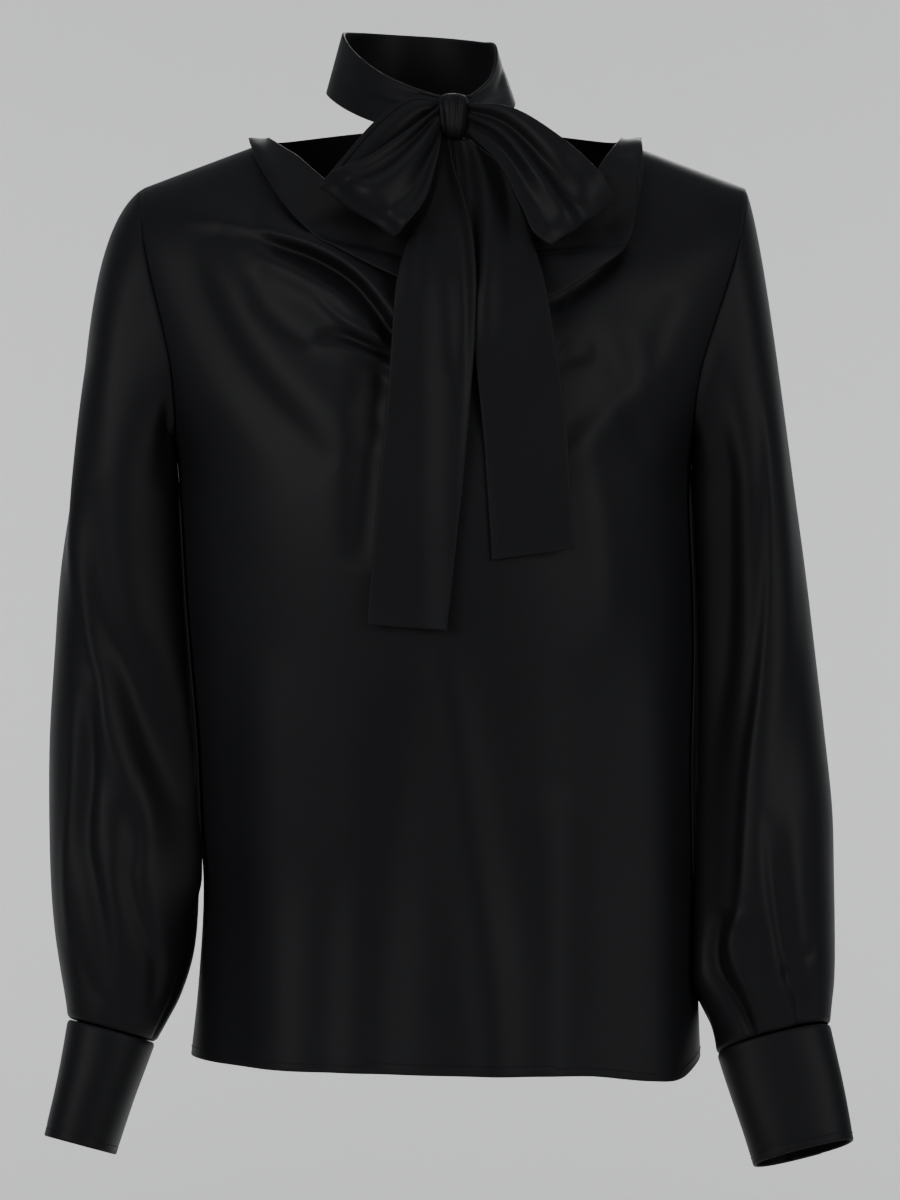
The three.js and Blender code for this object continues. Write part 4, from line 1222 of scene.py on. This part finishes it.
def make_tail(side):
    """A tail of doubled cloth, in place of its solid."""
    length = np.ptp(TAILS[side][:, 0])
    points = tail_point(side, *grid(steps(44, 52), steps(130, length)))
    wall = np.full(points.shape[:2], DOUBLE)
    piece = cloth(f"tie_tail_{side}_cloth", points, wall, -1)
    finish_piece(piece, [f"tie_tail_{side}"])
    report_cloth(piece, points)
    return piece, points


tails = {side: make_tail(side) for side in SIDES}

# %% [markdown]
# ## The knot
#
# The knot is a short turn of the strip wrapped tightly round the other: a rounded block, narrower at
# its foot, with slanting creases where the cloth is pulled together. Its surface is a sphere whose
# coordinates are raised to a power under 1, which squares it.

# %% Make the knot
KNOT = {"centre": (5.5, -70, 8), "half": (11.3, 12, 15)}
KNOT_POWER = 0.62
KNOT_CREASES = [
    # depth out of the knot, place across at its top and at its foot, width
    (-2.4, 0.20, 0.04, 0.10),
    (1.0, -0.30, -0.22, 0.26),
    (-1.3, -0.78, -0.56, 0.09),
    (0.9, 0.52, 0.40, 0.20),
]


def knot_points(turn, height):
    """A squared sphere: each coordinate to the power 0.62, tapered by a tenth, with creases cut in."""
    polar = np.pi * height
    x = np.sin(polar) * np.cos(2 * np.pi * turn)
    y = np.sin(polar) * np.sin(2 * np.pi * turn)
    z = np.cos(polar)
    x, y, z = (np.sign(c) * np.abs(c) ** KNOT_POWER for c in (x, y, z))
    depth = 0
    for size, top, foot, width in KNOT_CREASES:
        depth = depth + size * bell(x - lerp(foot, top, (z + 1) / 2), width) * np.maximum(0, -y)
    taper = 0.9 + 0.1 * z
    middle, half = KNOT["centre"], KNOT["half"]
    return np.stack([
        middle[0] + half[0] * x * taper,
        middle[1] + half[1] * y - depth,
        middle[2] + half[2] * z,
    ], axis=-1)


def closed_ball(points):
    """Faces of a grid whose first and last rows are poles: one point each, with triangles to them."""
    rows, columns = points.shape[:2]
    inner = points[1:-1].reshape(-1, 3)
    places = np.concatenate([inner, points[:1, 0], points[-1:, 0]])
    i = np.arange(columns)
    beside = (i + 1) % columns
    none = np.full(columns, -1)
    top = np.column_stack([np.full(columns, len(inner)), i, beside, none])
    last = (rows - 3) * columns
    foot = np.column_stack([np.full(columns, len(inner) + 1), last + beside, last + i, none])
    return places, np.concatenate([grid_faces(rows - 2, columns, True)[:, ::-1], top, foot])


turn, height = grid(np.arange(96) / 96, np.linspace(0, 1, 60))
places, faces = closed_ball(knot_points(turn, height))
knot_uv = np.column_stack([places[:, 0] + places[:, 1], places[:, 2]])
knot_mesh = mesh_object("tie_knot_cloth", places, faces, knot_uv, np.zeros(len(places)))
knot = finish_piece(knot_mesh, ["tie_knot"])
print("knot faces:", len(knot.data.polygons))

# %% [markdown]
# ## Buttons and stitches
#
# Two small buttons covered with the same satin close each cuff. The stitches of the hem and of the
# cuffs' lower edges are real thread: each is a short rounded bar that sinks into the cloth at both
# ends. They are all alike, so one small shape is repeated along the line.

# %% Make the buttons
BUTTON_RADIUS = 5.5
BUTTON_HEIGHT = 3.0
BUTTON_PLACES = (0.3, 0.7)
BUTTON_SEAT = 0.25
BUTTON_RINGS = 18
BUTTON_SIDES = 32
OVERLAP_MIDDLE = 1 - OVERLAP_TURN / 2 / (1 + OVERLAP_TURN)


def button_profile(count):
    """Radius and height from the middle of the flat back round the rim to the top of the dome."""
    angle = np.linspace(-0.5, 1, count) * np.pi / 2
    rim = BUTTON_RADIUS * np.maximum(np.cos(angle), 0) ** 0.8
    height = BUTTON_HEIGHT * (0.35 + 0.65 * np.sin(np.maximum(angle, 0)) ** 1.2)
    height = np.where(angle < 0, BUTTON_HEIGHT * 0.35 * (1 + np.sin(angle * 2)), height)
    return np.append(0, rim), np.append(0, height)


def make_button(side, number):
    """A dome turned round its axis, seated on the cuff's overlap."""
    u, v = np.array(OVERLAP_MIDDLE), np.array(BUTTON_PLACES[number])
    seat = cuff_point(side, u, v, SEAM + BUTTON_SEAT)
    axis = unit(cuff_point(side, u, v, SEAM + BUTTON_SEAT + 1) - seat)
    level = unit(np.cross(axis, [0, 0, 1]))
    upright = np.cross(axis, level)
    radius, rise = button_profile(BUTTON_RINGS)
    angle = 2 * np.pi * np.arange(BUTTON_SIDES) / BUTTON_SIDES
    ring = np.cos(angle)[:, None] * level + np.sin(angle)[:, None] * upright
    points = seat + rise[::-1, None, None] * axis + radius[::-1, None, None] * ring
    places, faces = closed_ball(points)
    uv = np.column_stack([(places - seat) @ level, (places - seat) @ upright])
    name = f"cuff_button_{side}_{number + 1}"
    piece = mesh_object(f"{name}_cover", places, faces, uv, np.zeros(len(places)))
    return finish_piece(piece, [name])


buttons = [make_button(side, number) for side in SIDES for number in (0, 1)]
print("buttons:", [b.name for b in buttons])

# %% Make the stitches
STITCH_PITCH = 3.0
STITCH_LENGTH = 2.3
THREAD = 0.32
# A stitch from end to end: places along it from -1 to 1, and its girth there as a share of the thread
SPINDLE_PLACES = np.array([-1, -0.8, -0.3, 0.3, 0.8, 1])
SPINDLE_GIRTH = np.array([0.05, 0.7, 1, 1, 0.7, 0.05])
SPINDLE_SIDES = 6


def stitch_line(line, normals):
    """Short bars along a line: each a six-sided spindle that dips into the cloth at its ends.

    Its axis stands 0.55 - 1.1 |a|^3 threads over the cloth, with a from -1 to 1 along the stitch.
    """
    run = arc(line[None], 1)[0]
    centres_at = np.arange(STITCH_PITCH, run[-1] - STITCH_PITCH, STITCH_PITCH)
    centre = np.stack([np.interp(centres_at, run, line[:, k]) for k in range(3)], axis=-1)
    ahead = np.stack([np.interp(centres_at + 0.5, run, line[:, k]) for k in range(3)], axis=-1)
    out = unit(np.stack([np.interp(centres_at, run, normals[:, k]) for k in range(3)], axis=-1))
    forward = unit(ahead - centre)
    side = np.cross(out, forward)
    thick = THREAD * SPINDLE_GIRTH
    lift = THREAD * (0.55 - 1.1 * np.abs(SPINDLE_PLACES) ** 3)
    angle = 2 * np.pi * np.arange(SPINDLE_SIDES) / SPINDLE_SIDES
    spine = centre[:, None] + forward[:, None] * (SPINDLE_PLACES * STITCH_LENGTH / 2)[None, :, None]
    spine = spine + out[:, None] * lift[None, :, None]
    ring = np.cos(angle)[:, None, None] * side + np.sin(angle)[:, None, None] * out
    ring = ring.transpose(1, 0, 2)
    points = spine[:, :, None] + ring[:, None] * thick[None, :, None, None]
    rows, columns = len(SPINDLE_PLACES), SPINDLE_SIDES
    first = np.arange(len(centre)) * rows * columns
    faces = grid_faces(rows, columns, True)[:, ::-1]
    faces = (faces[None] + first[:, None, None]).reshape(-1, 4)
    return points.reshape(-1, 3), faces


def grid_line(points, facing, ring, gap, edge="bottom"):
    """The line of a cloth piece that runs at a distance from its bottom edge, and the normals there."""
    if ring:
        points = np.concatenate([points, points[:, :1]], axis=1)
    distance = edge_distances(points, ring)[edge]
    row = np.abs(distance - gap).argmin(axis=0)
    columns = np.arange(points.shape[1])
    return points[row, columns], outward(points, facing, False)[row, columns]


def make_stitches(name, line, normals):
    """The stitches of one line as one piece."""
    places, faces = stitch_line(line, normals)
    uv = places[:, [0, 2]]
    return finish_piece(mesh_object(name, places, faces, uv, np.zeros(len(places))))


HEM_STITCH = 6.0
CUFF_STITCH = 6.0
stitches = {
    "front": make_stitches("hem_stitches_front", *grid_line(front_points, -1, False, HEM_STITCH)),
    "back": make_stitches("hem_stitches_back", *grid_line(back_points, 1, False, HEM_STITCH)),
    "right": make_stitches("cuff_stitches_right", *grid_line(cuffs["right"][1], -1, False, CUFF_STITCH)),
    "left": make_stitches("cuff_stitches_left", *grid_line(cuffs["left"][1], 1, False, CUFF_STITCH)),
}
faces_per_stitch = (len(SPINDLE_PLACES) - 1) * SPINDLE_SIDES
print("stitches:", sum(len(s.data.polygons) // faces_per_stitch for s in stitches.values()))

# %% [markdown]
# ## What each piece was cut as
#
# Cloth hardly stretches, so each piece must have the area of the flat cloth that it was cut from. Here
# each piece's flat width and length and its area are worked out, though nothing is done with them. The
# fold of a draped front takes up some of it.

def declare(points, ring=False):
    """Works out a piece's flat width and length and its area, at most that rectangle's, and keeps none of
    them.
    """
    width, length = flat_size(points, ring)
    area = min(cloth_area(points, ring), width * length)


declare(front_points)
declare(back_points)
declare(collar_points)
declare(band_points)
for side in SIDES:
    declare(sleeves[side][1], True)
    declare(cuffs[side][1], False)
    declare(loops[side][1], False)
    declare(tails[side][1], False)

# %% [markdown]
# ## Floor, backdrop, light and camera
#
# The photograph shows the blouse from straight ahead in even light, on a plain pale ground. Black
# satin shows only what it reflects, so the lights are broad, soft panels: two in front, a weak one
# above and one behind, for the back. Two more light the backdrop only, which is so far behind that
# the blouse can be looked at from its back as well. The floor lies as far below the shoulders as it
# does under a standing wearer. The camera stands 3 m away, level, at the height of the waist.

# %% Floor and backdrop
def plain_material(name, colour, roughness):
    """A plain painted surface, for the floor and the backdrop only."""
    material = bpy.data.materials.new(name)
    material.use_nodes = True
    shader = material.node_tree.nodes["Principled BSDF"]
    shader.inputs["Base Color"].default_value = (*colour, 1)
    shader.inputs["Roughness"].default_value = roughness
    return material


GROUND = plain_material("ground", (0.78, 0.78, 0.78), 0.9)


def plate(name, corners):
    """A flat square from its four corners in metres."""
    mesh = bpy.data.meshes.new(name)
    mesh.from_pydata(corners, [], [(0, 1, 2, 3)])
    obj = bpy.data.objects.new(name, mesh)
    obj.data.materials.append(GROUND)
    bpy.context.scene.collection.objects.link(obj)
    return obj


FLOOR_Z = -1.46
BACKDROP_Y = 5.5
BACKDROP_TOP = 6
STAGE_REACH = 8
floor = plate("floor", [
    (-STAGE_REACH, -STAGE_REACH, FLOOR_Z),
    (STAGE_REACH, -STAGE_REACH, FLOOR_Z),
    (STAGE_REACH, BACKDROP_Y, FLOOR_Z),
    (-STAGE_REACH, BACKDROP_Y, FLOOR_Z),
])
backdrop = plate("backdrop", [
    (-STAGE_REACH, BACKDROP_Y, FLOOR_Z),
    (STAGE_REACH, BACKDROP_Y, FLOOR_Z),
    (STAGE_REACH, BACKDROP_Y, BACKDROP_TOP),
    (-STAGE_REACH, BACKDROP_Y, BACKDROP_TOP),
])

# %% Lights
LIGHTS = [
    # name, place, point it faces, width, height, watts
    ("soft_box_front_right", (-1.9, -2.3, 0.5), (0, 0, -0.3), 1.5, 1.6, 40),
    ("soft_box_front_left", (2.0, -2.1, 0.3), (0, 0, -0.3), 1.4, 1.6, 31),
    ("soft_box_above", (0.0, -0.5, 2.3), (0, 0, -0.2), 2.0, 1.4, 9),
    ("soft_box_behind", (0.5, 3.4, 1.2), (0, 0, -0.3), 1.4, 1.2, 60),
    ("soft_box_backdrop_right", (-3.0, 2.6, -0.3), (0, BACKDROP_Y, -0.35), 0.8, 2.2, 73),
    ("soft_box_backdrop_left", (3.0, 2.6, -0.3), (0, BACKDROP_Y, -0.35), 0.8, 2.2, 73),
]


def soft_box(name, place, target, width, height, watts):
    """A rectangular area light at a place, turned to face a point."""
    light = bpy.data.lights.new(name, "AREA")
    light.shape = "RECTANGLE"
    light.size, light.size_y = width, height
    light.energy = watts
    obj = bpy.data.objects.new(name, light)
    bpy.context.scene.collection.objects.link(obj)
    from_place = np.array(target, float) - np.array(place, float)
    azimuth = np.arctan2(from_place[0], from_place[1])
    dip = np.arctan2(from_place[2], np.hypot(from_place[0], from_place[1]))
    obj.location = place
    obj.rotation_euler = (np.pi / 2 + dip, 0, -azimuth)
    return obj


lamps = [soft_box(*row) for row in LIGHTS]
world = bpy.data.worlds.new("studio")
bpy.context.scene.world = world
world.use_nodes = True
world.node_tree.nodes["Background"].inputs["Color"].default_value = (0.9, 0.95, 1.0, 1)
world.node_tree.nodes["Background"].inputs["Strength"].default_value = 0.27
print("lamps:", [lamp.name for lamp in lamps])

# %% Camera
CAMERA_DISTANCE = 3.0
VIEW_HEIGHT = 0.804
camera_data = bpy.data.cameras.new("camera")
camera_data.sensor_fit = "VERTICAL"
camera_data.sensor_height = 36
camera_data.lens = 36 * CAMERA_DISTANCE / VIEW_HEIGHT
camera = bpy.data.objects.new("camera", camera_data)
camera.location = (0.00335, -CAMERA_DISTANCE, -0.3082)
camera.rotation_euler = (np.pi / 2, 0, 0)
bpy.context.scene.collection.objects.link(camera)
bpy.context.scene.camera = camera
